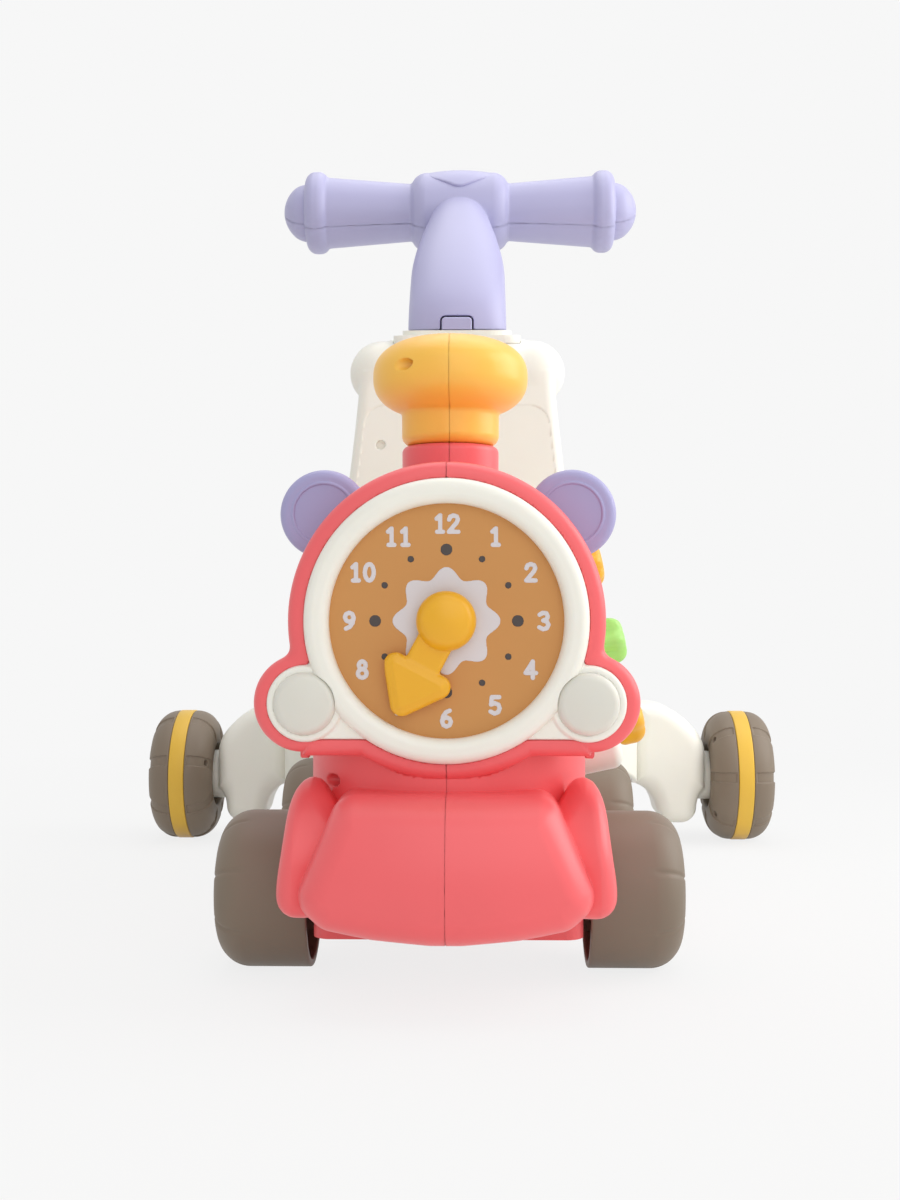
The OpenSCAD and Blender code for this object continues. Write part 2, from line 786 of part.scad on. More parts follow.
module battery_door() color(red) at(hatch_back, pan_floor - door_t)
    block([-hatch_w / 2 + fit_gap, -hatch_l / 2 + fit_gap, 0],
        [hatch_w / 2 - fit_gap, hatch_l / 2 - fit_gap, door_t]);

// Body under the seat, in halves, and the seat on it
body_front = boiler_back + fit_gap;
body_front_half = neck_half;
body_bosses = [[90, 120], [200, 120]];
body_cover = 3;
seat_front = body_front + fit_gap;

// Half width of the body, and its plan drawn in from its outside
function body_half_at(back) = body_front_half
    + (body_back_half - body_front_half) * (back - body_front) / (body_back - body_front);

module body_plan(inset)
    polygon([for (s = [-1, 1], b = s < 0 ? [body_back - inset,
    body_front + inset] : [body_front + inset, body_back - inset])
    [s * (body_half_at(b) - inset), front_axle_y + b]]);

module body_half(s) color(ivory) difference() {
    half(s) {
        difference() {
            translate([0, 0, pan_rim]) linear_extrude(body_top - pan_rim) body_plan(0);
            translate([0, 0, pan_rim - overrun])
                linear_extrude(body_top - pan_rim - body_cover + overrun) body_plan(shell_wall);
        }
        for (b = body_bosses) at(b[0], b[1])
            rod_x(boss_r, -body_half_at(b[0]) + shell_wall / 2, body_half_at(b[0]) - shell_wall / 2);
    }
    for (b = body_bosses) at(b[0], b[1]) {
        rod_x(screw_r, -body_back_half - overrun, boss_step + screw_head_h);
        rod_x(screw_head_r + fit_gap, -body_back_half - overrun, -boss_step);
    }
}

module body_left() body_half(-1);
module body_right() body_half(1);

module body_screws() color(steel) for (b = body_bosses) at(b[0], b[1])
    screw_x(-boss_step - screw_head_h, 2 * boss_step + screw_head_h);

module seat() color(ivory) at(seat_front + seat_l / 2, body_top) {
    linear_extrude(seat_t) round_rect(2 * neck_half, seat_l, seat_corner);
}

// Backrest with its roll, in halves, and the sleeve for the handle
sleeve_wall = 3;
sleeve_l = plug_l + sleeve_wall;
collar_step = 3;
collar_w = 76;
collar_d = 46;
collar_drop = 8;
plug_round = 5;

module socket_frame() at(roll_back, column_foot_z) rotate([socket_tilt, 0, 0]) children();

module backrest_form(inset) {
    r = backrest_round;
    hull() for (s = [-1, 1]) {
        for (b = [backrest_front + r, body_back - r])
            at(b, body_top) translate([s * (body_back_half - r), 0, inset - fit_gap])
                cylinder(r = r - inset, h = r, $fn = blend_fn);
        for (b = [backrest_front + r, backrest_front + backrest_top_t - r])
            at(b, roll_z - r - inset) translate([s * (backrest_top_half - r), 0, 0])
                cylinder(r = r - inset, h = r, $fn = blend_fn);
    }
}

module roll_form(inset) at(roll_back, roll_z) {
    rod_x(roll_r - inset, -roll_half + roll_r, roll_half - roll_r);
    for (s = [-1, 1]) translate([s * (roll_half - roll_r), 0, 0]) sphere(roll_r - inset);
}

module sleeve_outline(grow) round_rect(plug_w + 2 * grow, plug_t + 2 * grow, plug_round + grow);

module backrest(s) color(ivory) half(s) difference() {
    union() {
        backrest_form(0);
        roll_form(0);
    }
    backrest_form(shell_wall);
    roll_form(shell_wall);
    at(0, 0) block([-body_back_half - overrun, 0, 0],
        [body_back_half + overrun, 2 * body_back, body_top]);
    socket_frame() {
        translate([0, 0, -sleeve_l - fit_gap]) linear_extrude(2 * sleeve_l)
            sleeve_outline(run_gap + sleeve_wall + fit_gap);
        translate([-collar_w / 2 - fit_gap, -collar_d / 2 - fit_gap, -collar_drop - fit_gap])
            cube([collar_w + 2 * fit_gap, collar_d + 2 * fit_gap, sleeve_l]);
    }
}

module backrest_left() backrest(-1);
module backrest_right() backrest(1);

module handle_socket() color(ivory) socket_frame() difference() {
    union() {
        translate([0, 0, -sleeve_l]) linear_extrude(sleeve_l - run_gap)
            sleeve_outline(run_gap + sleeve_wall);
        translate([0, 0, -collar_drop]) linear_extrude(collar_drop - run_gap - collar_step)
            round_rect(collar_w, collar_d, 2 * plug_round);
        translate([0, 0, -collar_step - run_gap - collar_step]) linear_extrude(2 * collar_step)
            round_rect(column_w + 2 * collar_step, column_t + collar_step, 2 * plug_round + collar_step);
    }
    translate([0, 0, -plug_l - run_gap]) linear_extrude(2 * plug_l) sleeve_outline(run_gap);
}

// Push handle: a curved column, and a bar that is turned with its hub, grips, flanges and end knobs
foot_dir = [-sin(socket_tilt), cos(socket_tilt)];
hub_dir = [sin(column_lean), cos(column_lean)];
foot = [roll_back, column_foot_z];
hub = [hub_back, hub_z];
span = hub - foot;
bend_share = (span[0] * hub_dir[1] - span[1] * hub_dir[0])
    / (foot_dir[0] * hub_dir[1] - foot_dir[1] * hub_dir[0]);
bend = foot + bend_share * foot_dir;
column_rings = 12;
column_sides = 12;
handle_wall = 3;
void_start_share = 0.07;
void_end_share = 0.9;
hub_round = 7;
flange_round = 4;
flange_x = bar_half - knob_h - flange_w;
knob_ball = (pow(knob_r, 2) + pow(knob_h, 2)) / (2 * knob_h);

// The column's middle line, its direction, and one ring of points about it
function along(t) = pow(1 - t, 2) * foot + 2 * t * (1 - t) * bend + t * t * hub;
function heading(t) = let (d = (1 - t) * (bend - foot) + t * (hub - bend)) d / norm(d);
function mix(a, b, t) = a + (b - a) * t;
function ring(t, inset, sweep, turn, n) = let (
    c = along(t),
    d = heading(t),
    a = mix(column_w, column_end_w, t) / 2 - inset,
    b = mix(column_t, column_end_t, t) / 2 - inset
) [for (i = [0 : n - 1]) let (u = turn + sweep * i / (sweep < 360 ? n - 1 : n))
    [a * cos(u), front_axle_y + c[0] - d[1] * b * sin(u), c[1] + d[0] * b * sin(u)]];

// A skin over rings that all have the same number of points
module skin(rings) {
    n = len(rings[0]);
    last = len(rings) - 1;
    polyhedron(
        points = [for (r = rings, p = r) p],
        faces = [
            for (j = [1 : n - 2]) [0, j + 1, j],
            for (j = [1 : n - 2]) [last * n, last * n + j, last * n + j + 1],
            for (i = [0 : last - 1], j = [0 : n - 1]) [i * n + j, i * n + (j + 1) % n,
                (i + 1) * n + (j + 1) % n],
            for (i = [0 : last - 1], j = [0 : n - 1]) [i * n + j, (i + 1) * n + (j + 1) % n,
                (i + 1) * n + j]
        ]
    );
}

module column_part(turn)
    skin([for (i = [0 : column_rings]) ring(i / column_rings, 0, 180, turn, column_sides + 1)]);

module column_void() skin([for (i = [0 : column_rings])
    ring(mix(void_start_share, void_end_share, i / column_rings), handle_wall, 360, 0,
        2 * column_sides)]);

module bar_profile(inset) for (s = [0, 1]) mirror([0, s]) {
    polygon([[0, 0], [grip_in_r - inset, 0], [grip_in_r - inset, hub_w / 2],
        [grip_out_r - inset, flange_x + inset], [0, flange_x + inset]]);
    square([hub_r - inset, hub_w / 2 - hub_round]);
    square([hub_r - hub_round, hub_w / 2 - inset]);
    translate([hub_r - hub_round, hub_w / 2 - hub_round]) circle(hub_round - inset);
    translate([0, flange_x + flange_round]) square([flange_r - inset, flange_w - 2 * flange_round]);
    translate([0, flange_x + inset]) square([flange_r - flange_round, flange_w - 2 * inset]);
    for (y = [flange_x + flange_round, flange_x + flange_w - flange_round])
        translate([flange_r - flange_round, y]) circle(flange_round - inset);
    if (inset == 0) intersection() {
        translate([0, bar_half - knob_ball]) circle(knob_ball);
        translate([0, bar_half - knob_h - flange_round]) square([knob_r, knob_h + flange_round]);
    }
}

module seam_frame() at(hub_back, hub_z) rotate([-column_lean, 0, 0]) children();

module bar_part(turn) seam_frame() rotate([0, 90, 0]) rotate([0, 0, turn]) rotate_extrude(angle = 180)
    intersection() {
        bar_profile(0);
        translate([0, -bar_half]) square([flange_r, 2 * bar_half]);
    }

module bar_void() seam_frame() rotate([0, 90, 0]) rotate_extrude() intersection() {
    bar_profile(handle_wall);
    translate([0, -bar_half]) square([flange_r, 2 * bar_half]);
}

// The release button slides in a window at the column's foot
button_low = 0.8;
button_proud = 1.5;
button_depth = 10;
button_face = column_t / 2 + button_proud;
button_inner = button_face - button_depth;
button_wing = 2.5;
wing_t = 1.5;
wing_low = 3.2;

module button_window() socket_frame() {
    block([-button_w / 2 - run_gap, -column_t, button_low - run_gap],
          [button_w / 2 + run_gap, -button_inner + button_travel + run_gap,
           button_low + button_h + run_gap]);
    block([-button_w / 2 - button_wing - run_gap, -button_inner - wing_t - run_gap, wing_low - run_gap],
          [button_w / 2 + button_wing + run_gap, -button_inner + button_travel + run_gap,
           button_low + button_h + run_gap]);
}

module handle_upper() color(lavender) difference() {
    union() {
        column_part(0);
        bar_part(180);
    }
    column_part(180);
    column_void();
    bar_void();
    button_window();
}

module handle_lower() color(lavender) difference() {
    union() {
        column_part(180);
        bar_part(0);
    }
    column_part(0);
    column_void();
    bar_void();
}

module handle_plug() color(lavender) socket_frame() translate([0, 0, -plug_l]) linear_extrude(plug_l)
    sleeve_outline(0);

pad_w = 39;
pad_l = 27;
pad_t = 1.6;
pad_depth = 6;
pad_turn = 1;
pad_corner = 7;

module handle_pad() color(lavender) seam_frame() rotate([-pad_turn, 0, 0]) intersection() {
    translate([0, -hub_r + pad_depth, 0]) rotate([90, 0, 0]) linear_extrude(2 * pad_depth) hull() {
        for (x = [-1, 1]) translate([x * (pad_w / 2 - pad_corner), pad_l / 2 - pad_corner])
            circle(pad_corner, $fn = 2 * blend_fn);
        translate([0, -pad_l / 2 + pad_corner]) circle(pad_corner, $fn = 2 * blend_fn);
    }
    difference() {
        rod_x(hub_r + pad_t, -hub_w / 2, hub_w / 2);
        rod_x(hub_r, -hub_w, hub_w);
    }
}

module release_button() color(lavender) socket_frame() {
    block([-button_w / 2, -button_face, button_low],
        [button_w / 2, -button_inner, button_low + button_h]);
    block([-button_w / 2 - button_wing, -button_inner - wing_t, wing_low],
        [button_w / 2 + button_wing, -button_inner, button_low + button_h]);
}

// Rear deck, which spreads from the body to the legs
deck_round = 10;
deck_start_top = 150;
deck_start = body_back + fit_gap;

deck_steps = 8;

// The deck's width and top ease from the body's to the legs'
function ease(t) = t * t * (3 - 2 * t);
function deck_back_at(t) = mix(deck_start, rear_axle_back - deck_depth / 2, t);
function deck_half_at(t) = mix(body_back_half, deck_half, ease(t));
function deck_top_at(t) = mix(deck_start_top, deck_top, ease(t));

module deck_profile(inset) offset(r = deck_round - inset) polygon([
    for (i = [0 : deck_steps]) let (t = i / deck_steps)
        [max(deck_back_at(t), deck_start + deck_round), deck_top_at(t) - deck_round],
    [rear_axle_back + deck_depth / 2 - deck_round, deck_top - deck_round],
    [rear_axle_back + deck_depth / 2 - deck_round, deck_under + deck_round],
    [rear_axle_back - deck_depth / 2 + deck_round, deck_under + deck_round],
    [deck_start + deck_round, pan_rim + deck_round]
]);

module deck_plan(inset) polygon([for (s = [-1, 1], i = [0 : deck_steps + 1])
    let (k = s < 0 ? i : deck_steps + 1 - i, t = min(k, deck_steps) / deck_steps)
    [s * (deck_half_at(t) - inset),
     k > deck_steps ? rear_axle_back + deck_depth / 2 : deck_back_at(t)]]);

module deck_form(inset) translate([0, front_axle_y, 0]) intersection() {
    drawn_x(-deck_half, deck_half) deck_profile(inset);
    linear_extrude(deck_start_top) deck_plan(inset);
}

module rear_deck() color(ivory) difference() {
    deck_form(0);
    translate([0, 0, -2 * shell_wall]) deck_form(shell_wall);
    block([-pan_half - fit_gap, front_axle_y, 0],
        [pan_half + fit_gap, front_axle_y + pan_back + fit_gap, pan_rim + fit_gap]);
}

// Rear legs, each an inverted L with a boss that carries the wheel
leg_in = leg_out - leg_upright_w;
leg_knee_z = 68;
corner_steps = 3;
leg_bearing_r = 9;
wheel_gap = 4.4;
dish_r = 20;
dish_depth = 7.5;
leg_boss_r = 17;
leg_boss_l = wheel_gap + dish_depth - run_gap;
leg_boss_root = 4;

module leg_beam(inset) hull() for (y = [-1, 1]) {
    at(rear_axle_back + y * (deck_depth / 2 - deck_round), deck_top - deck_round)
        rod_x(deck_round - inset, leg_out - 2 * leg_round, leg_in, $fn = blend_fn);
    at(rear_axle_back + y * (deck_depth / 2 - deck_round), deck_under + deck_round)
        rod_x(deck_round - inset, leg_out - 2 * leg_round, leg_in, $fn = blend_fn);
    for (a = [0 : 90 / corner_steps : 90]) at(rear_axle_back, deck_top - leg_round)
        translate([leg_out - leg_round, y * (deck_depth / 2 - deck_round), 0])
            rod_y(leg_round - deck_round + (deck_round - inset) * cos(a), -(deck_round - inset) * sin(a),
                (deck_round - inset) * sin(a), $fn = 2 * blend_fn);
    at(rear_axle_back + y * (deck_depth / 2 - deck_round), deck_under + deck_round)
        translate([leg_out - deck_round, 0, 0]) sphere(deck_round - inset, $fn = blend_fn);
}

module leg_upright(inset) hull() for (y = [-1, 1], x = [0, 1]) {
    at(rear_axle_back + y * (deck_depth / 2 - deck_round), leg_knee_z)
        translate([mix(leg_in + deck_round, leg_out - deck_round, x), 0, 0])
            sphere(deck_round - inset, $fn = blend_fn);
    at(rear_axle_back + y * (deck_depth / 2 - leg_foot_round), leg_foot + leg_foot_round)
        translate([mix(leg_in + leg_foot_round, leg_out - leg_foot_round, x), 0, 0])
            sphere(leg_foot_round - inset, $fn = blend_fn);
}

module leg(s) color(ivory) on_side(s) difference() {
    union() {
        difference() {
            union() {
                leg_beam(0);
                leg_upright(0);
            }
            leg_beam(shell_wall);
            leg_upright(shell_wall);
        }
        at(rear_axle_back, rear_r) {
            rod_x(leg_bearing_r, leg_in + shell_wall / 2, leg_out - shell_wall / 2);
            rod_x(leg_boss_r, leg_out - leg_boss_root, leg_out + leg_boss_l);
        }
    }
    at(rear_axle_back, rear_r) rod_x(rear_axle_r, leg_in + shell_wall, leg_out + leg_boss_l + overrun);
    at(rear_axle_back - deck_depth, 0)
        block([0, 0, 0], [deck_half + fit_gap, 2 * deck_depth, deck_top + overrun]);
}

module leg_left() leg(-1);
module leg_right() leg(1);

// Rear wheels: two halves with scalloped shoulders, joined by screws, and a band between them
wheel_mid_x = leg_out + wheel_gap + rear_wheel_w / 2;
shoulder_a = rear_wheel_w / 2 - rear_shoulder;
band_proud = 0.4;
shoulder_c = rear_r - rear_shoulder - band_proud;
shoulder_flat = 0.5;
spigot_wheel_r = rear_r - rear_band_t;
wheel_hub_r = 11;
wheel_void_r = 29;
wheel_void_a = 12;
cap_dish_r = 13;
cap_dish_depth = 6;
rear_cap_r = 11;
rear_cap_t = 4.5;
lugs = 8;
lug_groove_angle = 8;
lug_groove_depth = 1;
wheel_screws = 4;
wheel_screw_r = 36;
wheel_screw_a = 9;
lug_turn = 20;

module wheel_shoulder(inset) {
    translate([shoulder_c, shoulder_a]) circle(rear_shoulder - inset);
    square([shoulder_c, rear_wheel_w / 2 - shoulder_flat - inset]);
}

module wheel_half_profile(dish, depth) difference() {
    union() {
        intersection() {
            wheel_shoulder(0);
            translate([0, rear_band_w / 2]) square([rear_r, rear_wheel_w]);
        }
        square([spigot_wheel_r, rear_band_w]);
    }
    translate([wheel_hub_r, -overrun]) square([wheel_void_r - wheel_hub_r, wheel_void_a + overrun]);
    translate([0, -overrun]) square([rear_axle_r + axle_gap, rear_wheel_w]);
    translate([0, rear_wheel_w / 2 - depth]) square([dish, rear_wheel_w]);
}

module lug_groove() rotate([0, 0, -lug_groove_angle / 2]) rotate_extrude(angle = lug_groove_angle)
    intersection() {
    difference() {
        translate([shoulder_c, shoulder_a]) circle(rear_shoulder + overrun);
        translate([shoulder_c, shoulder_a]) circle(rear_shoulder - lug_groove_depth);
    }
    translate([shoulder_c, rear_band_w / 2]) square([rear_r, rear_wheel_w]);
}

// Local axis from the wheel's middle outwards; way is 1 for the outer half and -1 for the inner half
module wheel_frame(s, way) on_side(s) at(rear_axle_back, rear_r) translate([wheel_mid_x, 0, 0])
    rotate([0, way * 90, 0]) children();

module wheel_half(s, way, dish, depth) color(taupe) wheel_frame(s, way) difference() {
    rotate_extrude() wheel_half_profile(dish, depth);
    for (i = [0 : lugs - 1]) rotate([0, 0, lug_turn + i * 360 / lugs]) lug_groove();
    for (i = [0 : wheel_screws - 1]) rotate([0, 0, i * 360 / wheel_screws])
        translate([wheel_screw_r, 0, 0]) {
        translate([0, 0, -overrun]) cylinder(r = screw_r, h = wheel_screw_a + 2 * overrun);
        if (way < 0) translate([0, 0, wheel_screw_a])
            cylinder(r = screw_head_r + fit_gap, h = rear_wheel_w);
    }
}

module wheel_band(s) color(yellow) wheel_frame(s, 1) translate([0, 0, -rear_band_w / 2]) difference() {
    cylinder(r = rear_r, h = rear_band_w);
    translate([0, 0, -overrun]) cylinder(r = spigot_wheel_r, h = rear_band_w + 2 * overrun);
}

module wheel_screw_set(s) color(steel) wheel_frame(s, -1) for (i = [0 : wheel_screws - 1])
    rotate([0, 0, i * 360 / wheel_screws]) translate([wheel_screw_r, 0, 0]) {
        translate([0, 0, wheel_screw_a]) cylinder(r = screw_head_r, h = screw_head_h);
        translate([0, 0, -wheel_screw_a]) cylinder(r = screw_r, h = 2 * wheel_screw_a + screw_head_h);
    }

module wheel_left_inner() wheel_half(-1, -1, dish_r, dish_depth);
module wheel_left_outer() wheel_half(-1, 1, cap_dish_r, cap_dish_depth);
module wheel_left_band() wheel_band(-1);
module wheel_left_screws() wheel_screw_set(-1);
module wheel_right_inner() wheel_half(1, -1, dish_r, dish_depth);
module wheel_right_outer() wheel_half(1, 1, cap_dish_r, cap_dish_depth);
module wheel_right_band() wheel_band(1);
module wheel_right_screws() wheel_screw_set(1);

rear_cap_x = wheel_mid_x + rear_wheel_w / 2 - cap_dish_depth + run_gap;
rear_cap_bite = 3;

module rear_axles() color(steel) for (s = [-1, 1]) on_side(s) at(rear_axle_back, rear_r)
    rod_x(rear_axle_r, leg_in + shell_wall, rear_cap_x + rear_cap_bite);

module rear_caps() color(taupe) for (s = [-1, 1]) on_side(s) at(rear_axle_back, rear_r) difference() {
    rod_x(rear_cap_r, rear_cap_x, rear_cap_x + rear_cap_t);
    rod_x(rear_axle_r, rear_cap_x - overrun, rear_cap_x + rear_cap_bite);
}

// Side panel with three lobed spinners, on the viewer's right only
post_in_r = 4;
spinner_cup_r = 6;
spinner_cup = 4;
spinner_head_r = 5.4;
spinner_head_h = 2.6;
spinner_screw_l = 12;
spinner_dome_r = 30;
spinner_steps = [-1, 0, 1];
spinner_tints = [yellow, green, yellow];
spinner_lobes = [8, 6, 4];
spinner_lobe_r = [3.4, 4.4, 5.6];
panel_inner_x = 40;
panel_out = barrel_r + panel_stand;
spinner_post_l = spinner_h - spinner_cup + 2 * run_gap;

function panel_x(z) = panel_out - (z - panel_foot) * tan(panel_tilt);

// Local X runs down the panel, local Z out of it; step counts spinners from the middle one
module spinner_frame(step)
    translate([panel_x(spinner_mid_z), front_axle_y + panel_front + panel_l / 2, spinner_mid_z])
    rotate([0, 90 - panel_tilt, 0]) translate([step * spinner_pitch, 0, 0]) children();

module side_panel() color(ivory) difference() {
    union() {
        translate([0, front_axle_y + panel_front, 0]) drawn_y(0, panel_l) polygon([
            [panel_inner_x, panel_foot], [panel_out, panel_foot], [panel_x(panel_head), panel_head],
            [panel_inner_x, panel_head]
        ]);
        for (i = spinner_steps) spinner_frame(i) translate([0, 0, -overrun])
            cylinder(r = post_in_r, h = spinner_post_l + overrun);
    }
    at(0, boiler_z) rod_y(barrel_r + fit_gap, 0, boiler_back);
    at(0, 0) block([0, 0, 0], [neck_half + fit_gap, boiler_back, boiler_z]);
    for (i = spinner_steps) spinner_frame(i) translate([0, 0, spinner_post_l - spinner_screw_l])
        cylinder(r = screw_r, h = spinner_screw_l + overrun);
}

module spinner_outline(kind) {
    r = spinner_lobe_r[kind];
    circle(spinner_r - r);
    for (i = [0 : spinner_lobes[kind] - 1]) rotate((i + 1 / 2) * 360 / spinner_lobes[kind])
        translate([spinner_r - r, 0]) circle(r);
}

module spinner(kind) color(spinner_tints[kind]) spinner_frame(spinner_steps[kind])
    translate([0, 0, run_gap]) difference() {
    intersection() {
        linear_extrude(spinner_h) spinner_outline(kind);
        translate([0, 0, spinner_h - spinner_dome_r]) sphere(spinner_dome_r);
    }
    translate([0, 0, -overrun]) cylinder(r = post_in_r + axle_gap, h = spinner_h);
    translate([0, 0, spinner_h - spinner_cup]) cylinder(r = spinner_cup_r, h = spinner_cup + overrun);
}

module spinner_top() spinner(0);
module spinner_middle() spinner(1);
module spinner_bottom() spinner(2);

module spinner_screws() color(steel) for (i = spinner_steps) spinner_frame(i)
    translate([0, 0, spinner_post_l]) {
    cylinder(r = spinner_head_r, h = spinner_head_h);
    translate([0, 0, -spinner_screw_l]) cylinder(r = screw_r, h = spinner_screw_l + spinner_head_h);
}

chassis_pan();
front_axle();
middle_axle();
axle_caps();
front_roller_left();
front_roller_right();
middle_roller_left();
middle_roller_right();
bumper_left();
bumper_right();
boiler_left();
boiler_right();
boiler_screws();
face_plate();
dial();
clock_hand();
hand_clip();
lamp_left();
lamp_right();
switch_pads();
circuit_board();
ear_left();
ear_right();
chimney_left();
chimney_right();
speaker();
battery_box();
battery_cells();
battery_door();
body_left();
body_right();
body_screws();
seat();
backrest_left();
backrest_right();
handle_socket();
handle_upper();
handle_lower();
handle_plug();
handle_pad();
release_button();
rear_deck();
leg_left();
leg_right();
rear_axles();
rear_caps();
wheel_left_inner();
wheel_left_outer();
wheel_left_band();
wheel_left_screws();
wheel_right_inner();
wheel_right_outer();
wheel_right_band();
wheel_right_screws();
side_panel();
spinner_top();
spinner_middle();
spinner_bottom();
spinner_screws();
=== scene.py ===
"""Looks of a ride on train for a toddler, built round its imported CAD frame.

Sizes in the classes are in millimetres in the part's own frame: X to the viewer's right, Y to the back, Z up.
Places along the train are counted from the front axle, as "back".
A field gives the signed distance to a form, negative inside, from places as X, Y and Z.
"""

import json
import logging
import math
from dataclasses import dataclass, field
from enum import Enum
from functools import partial
from typing import Callable, Iterable, Mapping, Sequence

import bpy
import numpy as np
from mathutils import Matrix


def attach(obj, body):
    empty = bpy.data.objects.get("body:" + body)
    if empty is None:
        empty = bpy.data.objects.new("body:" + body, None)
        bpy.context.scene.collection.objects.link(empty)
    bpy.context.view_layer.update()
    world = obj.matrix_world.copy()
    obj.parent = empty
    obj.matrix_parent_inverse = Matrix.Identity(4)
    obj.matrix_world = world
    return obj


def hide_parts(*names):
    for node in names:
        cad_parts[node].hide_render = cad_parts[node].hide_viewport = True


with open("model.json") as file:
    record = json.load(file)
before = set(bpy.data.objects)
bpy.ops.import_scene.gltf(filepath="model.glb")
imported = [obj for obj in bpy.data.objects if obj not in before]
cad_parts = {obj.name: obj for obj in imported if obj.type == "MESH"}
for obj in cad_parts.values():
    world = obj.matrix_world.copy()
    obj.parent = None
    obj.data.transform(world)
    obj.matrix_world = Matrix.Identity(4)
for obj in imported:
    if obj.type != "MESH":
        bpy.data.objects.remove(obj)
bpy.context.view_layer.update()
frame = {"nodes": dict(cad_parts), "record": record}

import openvdb
from mathutils import Vector

LOG = logging.getLogger("train")
MM = 0.001
# Place of the front axle along Y
AXLE_Y = -154.3
# Half of the gap at a parting line, a cut far outside the form, and the round of the line's edges
SEAM = 0.06
APART = -500.0
SEAM_EDGE = 0.22
Spot = Sequence[np.ndarray]
Field = Callable[[Spot], np.ndarray]
Mark = Callable[[np.ndarray, np.ndarray], np.ndarray]
Hole = tuple[Field, float]
Point = tuple[float, float]
# Rim of the push handle's sleeve, as back and height, and how far the sleeve leans to the front
SLEEVE: Point = (203.0, 334.0)
SLEEVE_TILT = math.radians(8.5)


class Body(Enum):
    """CAD bodies that pieces ride on."""

    TRAIN = "train"
    FRONT_ROLLER_LEFT = "front_roller_left"
    FRONT_ROLLER_RIGHT = "front_roller_right"
    MIDDLE_ROLLER_LEFT = "middle_roller_left"
    MIDDLE_ROLLER_RIGHT = "middle_roller_right"
    WHEEL_LEFT = "wheel_left"
    WHEEL_RIGHT = "wheel_right"
    CLOCK_HAND = "clock_hand"
    LAMP_LEFT = "lamp_left"
    LAMP_RIGHT = "lamp_right"
    HANDLE = "handle"
    RELEASE_BUTTON = "release_button"
    SPINNER_TOP = "spinner_top"
    SPINNER_MIDDLE = "spinner_middle"
    SPINNER_BOTTOM = "spinner_bottom"


class Side(Enum):
    """Sides of the centre plane, as signs along X."""

    LEFT = -1
    RIGHT = 1

    @property
    def word(self) -> str:
        """Returns: the side's name in lower case."""
        return self.name.lower()


def linear(colour: str) -> tuple[float, float, float, float]:
    """Turns an sRGB hex colour into linear light.

    Args:
        colour: Six hex digits after a hash.

    Returns:
        Red, green, blue and alpha in linear light.
    """
    parts = [int(colour[i : i + 2], 16) / 255 for i in (1, 3, 5)]
    r, g, b = (c / 12.92 if c <= 0.04045 else ((c + 0.055) / 1.055) ** 2.4 for c in parts)
    return (r, g, b, 1.0)


def add_node(
    tree: bpy.types.NodeTree,
    kind: str,
    settings: Mapping[str | int, object] | None = None,
    links: Mapping[str | int, bpy.types.NodeSocket] | None = None,
) -> bpy.types.Node:
    """Adds a shader node with its settings and links.

    Args:
        tree: Node tree that gets the node.
        kind: Node type.
        settings: Values of inputs, by name or number, or of the node's own properties.
        links: Sockets that feed the node's inputs, by name or number.

    Returns:
        The new node.
    """
    node = tree.nodes.new(kind)
    for key, value in (settings or {}).items():
        if isinstance(key, int) or key in node.inputs:
            node.inputs[key].default_value = value
        else:
            setattr(node, key, value)
    for key, socket in (links or {}).items():
        tree.links.new(socket, node.inputs[key])
    return node


@dataclass(frozen=True)
class Finish:
    """A material and the process that shaped its surface, with flow clouds about 45 mm wide."""

    name: str
    colour: str
    roughness: float
    slot: str | None
    ior: float = 1.5
    metallic: float = 0.0
    depth: float = 0.0
    grain_mm: float = 0.45
    grain_height_mm: float = 0.01
    mottle: float = 0.03
    sheen: float = 0.04
    clouds_per_m: float = 22.0

    def material(self) -> bpy.types.Material:
        """Returns: the Blender material, made on first use."""
        found = bpy.data.materials.get(self.name)
        if found:
            return found
        made = bpy.data.materials.new(self.name)
        made.use_nodes = True
        tree = made.node_tree
        tree.nodes.clear()
        spot = add_node(tree, "ShaderNodeTexCoord").outputs["Object"]
        # A moulded grain is about 0.1 mm wide, too fine to show, so it is drawn some four times as coarse
        fine = {"Scale": 1 / (self.grain_mm * MM), "Detail": 3.0}
        grain = add_node(tree, "ShaderNodeTexNoise", fine, {"Vector": spot}).outputs["Fac"]
        broad = {"Scale": self.clouds_per_m, "Detail": 2.0}
        cloud = add_node(tree, "ShaderNodeTexNoise", broad, {"Vector": spot}).outputs["Fac"]
        spread = {"To Min": 1 - self.mottle, "To Max": 1 + self.mottle}
        lift = add_node(tree, "ShaderNodeMapRange", spread, {"Value": cloud}).outputs["Result"]
        mixing = {"data_type": "RGBA", "blend_type": "MULTIPLY", 0: 1.0, 6: linear(self.colour)}
        tint = add_node(tree, "ShaderNodeMix", mixing, {7: lift}).outputs[2]
        spread = {"To Min": self.roughness - self.sheen, "To Max": self.roughness + self.sheen}
        sheen = add_node(tree, "ShaderNodeMapRange", spread, {"Value": cloud}).outputs["Result"]
        relief = {"Strength": 0.35, "Distance": self.grain_height_mm * MM}
        bump = add_node(tree, "ShaderNodeBump", relief, {"Height": grain}).outputs["Normal"]
        shader = add_node(
            tree,
            "ShaderNodeBsdfPrincipled",
            {
                "IOR": self.ior,
                "Metallic": self.metallic,
                "Subsurface Weight": self.depth,
                "Subsurface Radius": (0.004, 0.003, 0.002),
                "Subsurface Scale": 1.0,
            },
            {"Base Color": tint, "Roughness": sheen, "Normal": bump},
        )
        add_node(tree, "ShaderNodeOutputMaterial", None, {"Surface": shader.outputs["BSDF"]})
        return made


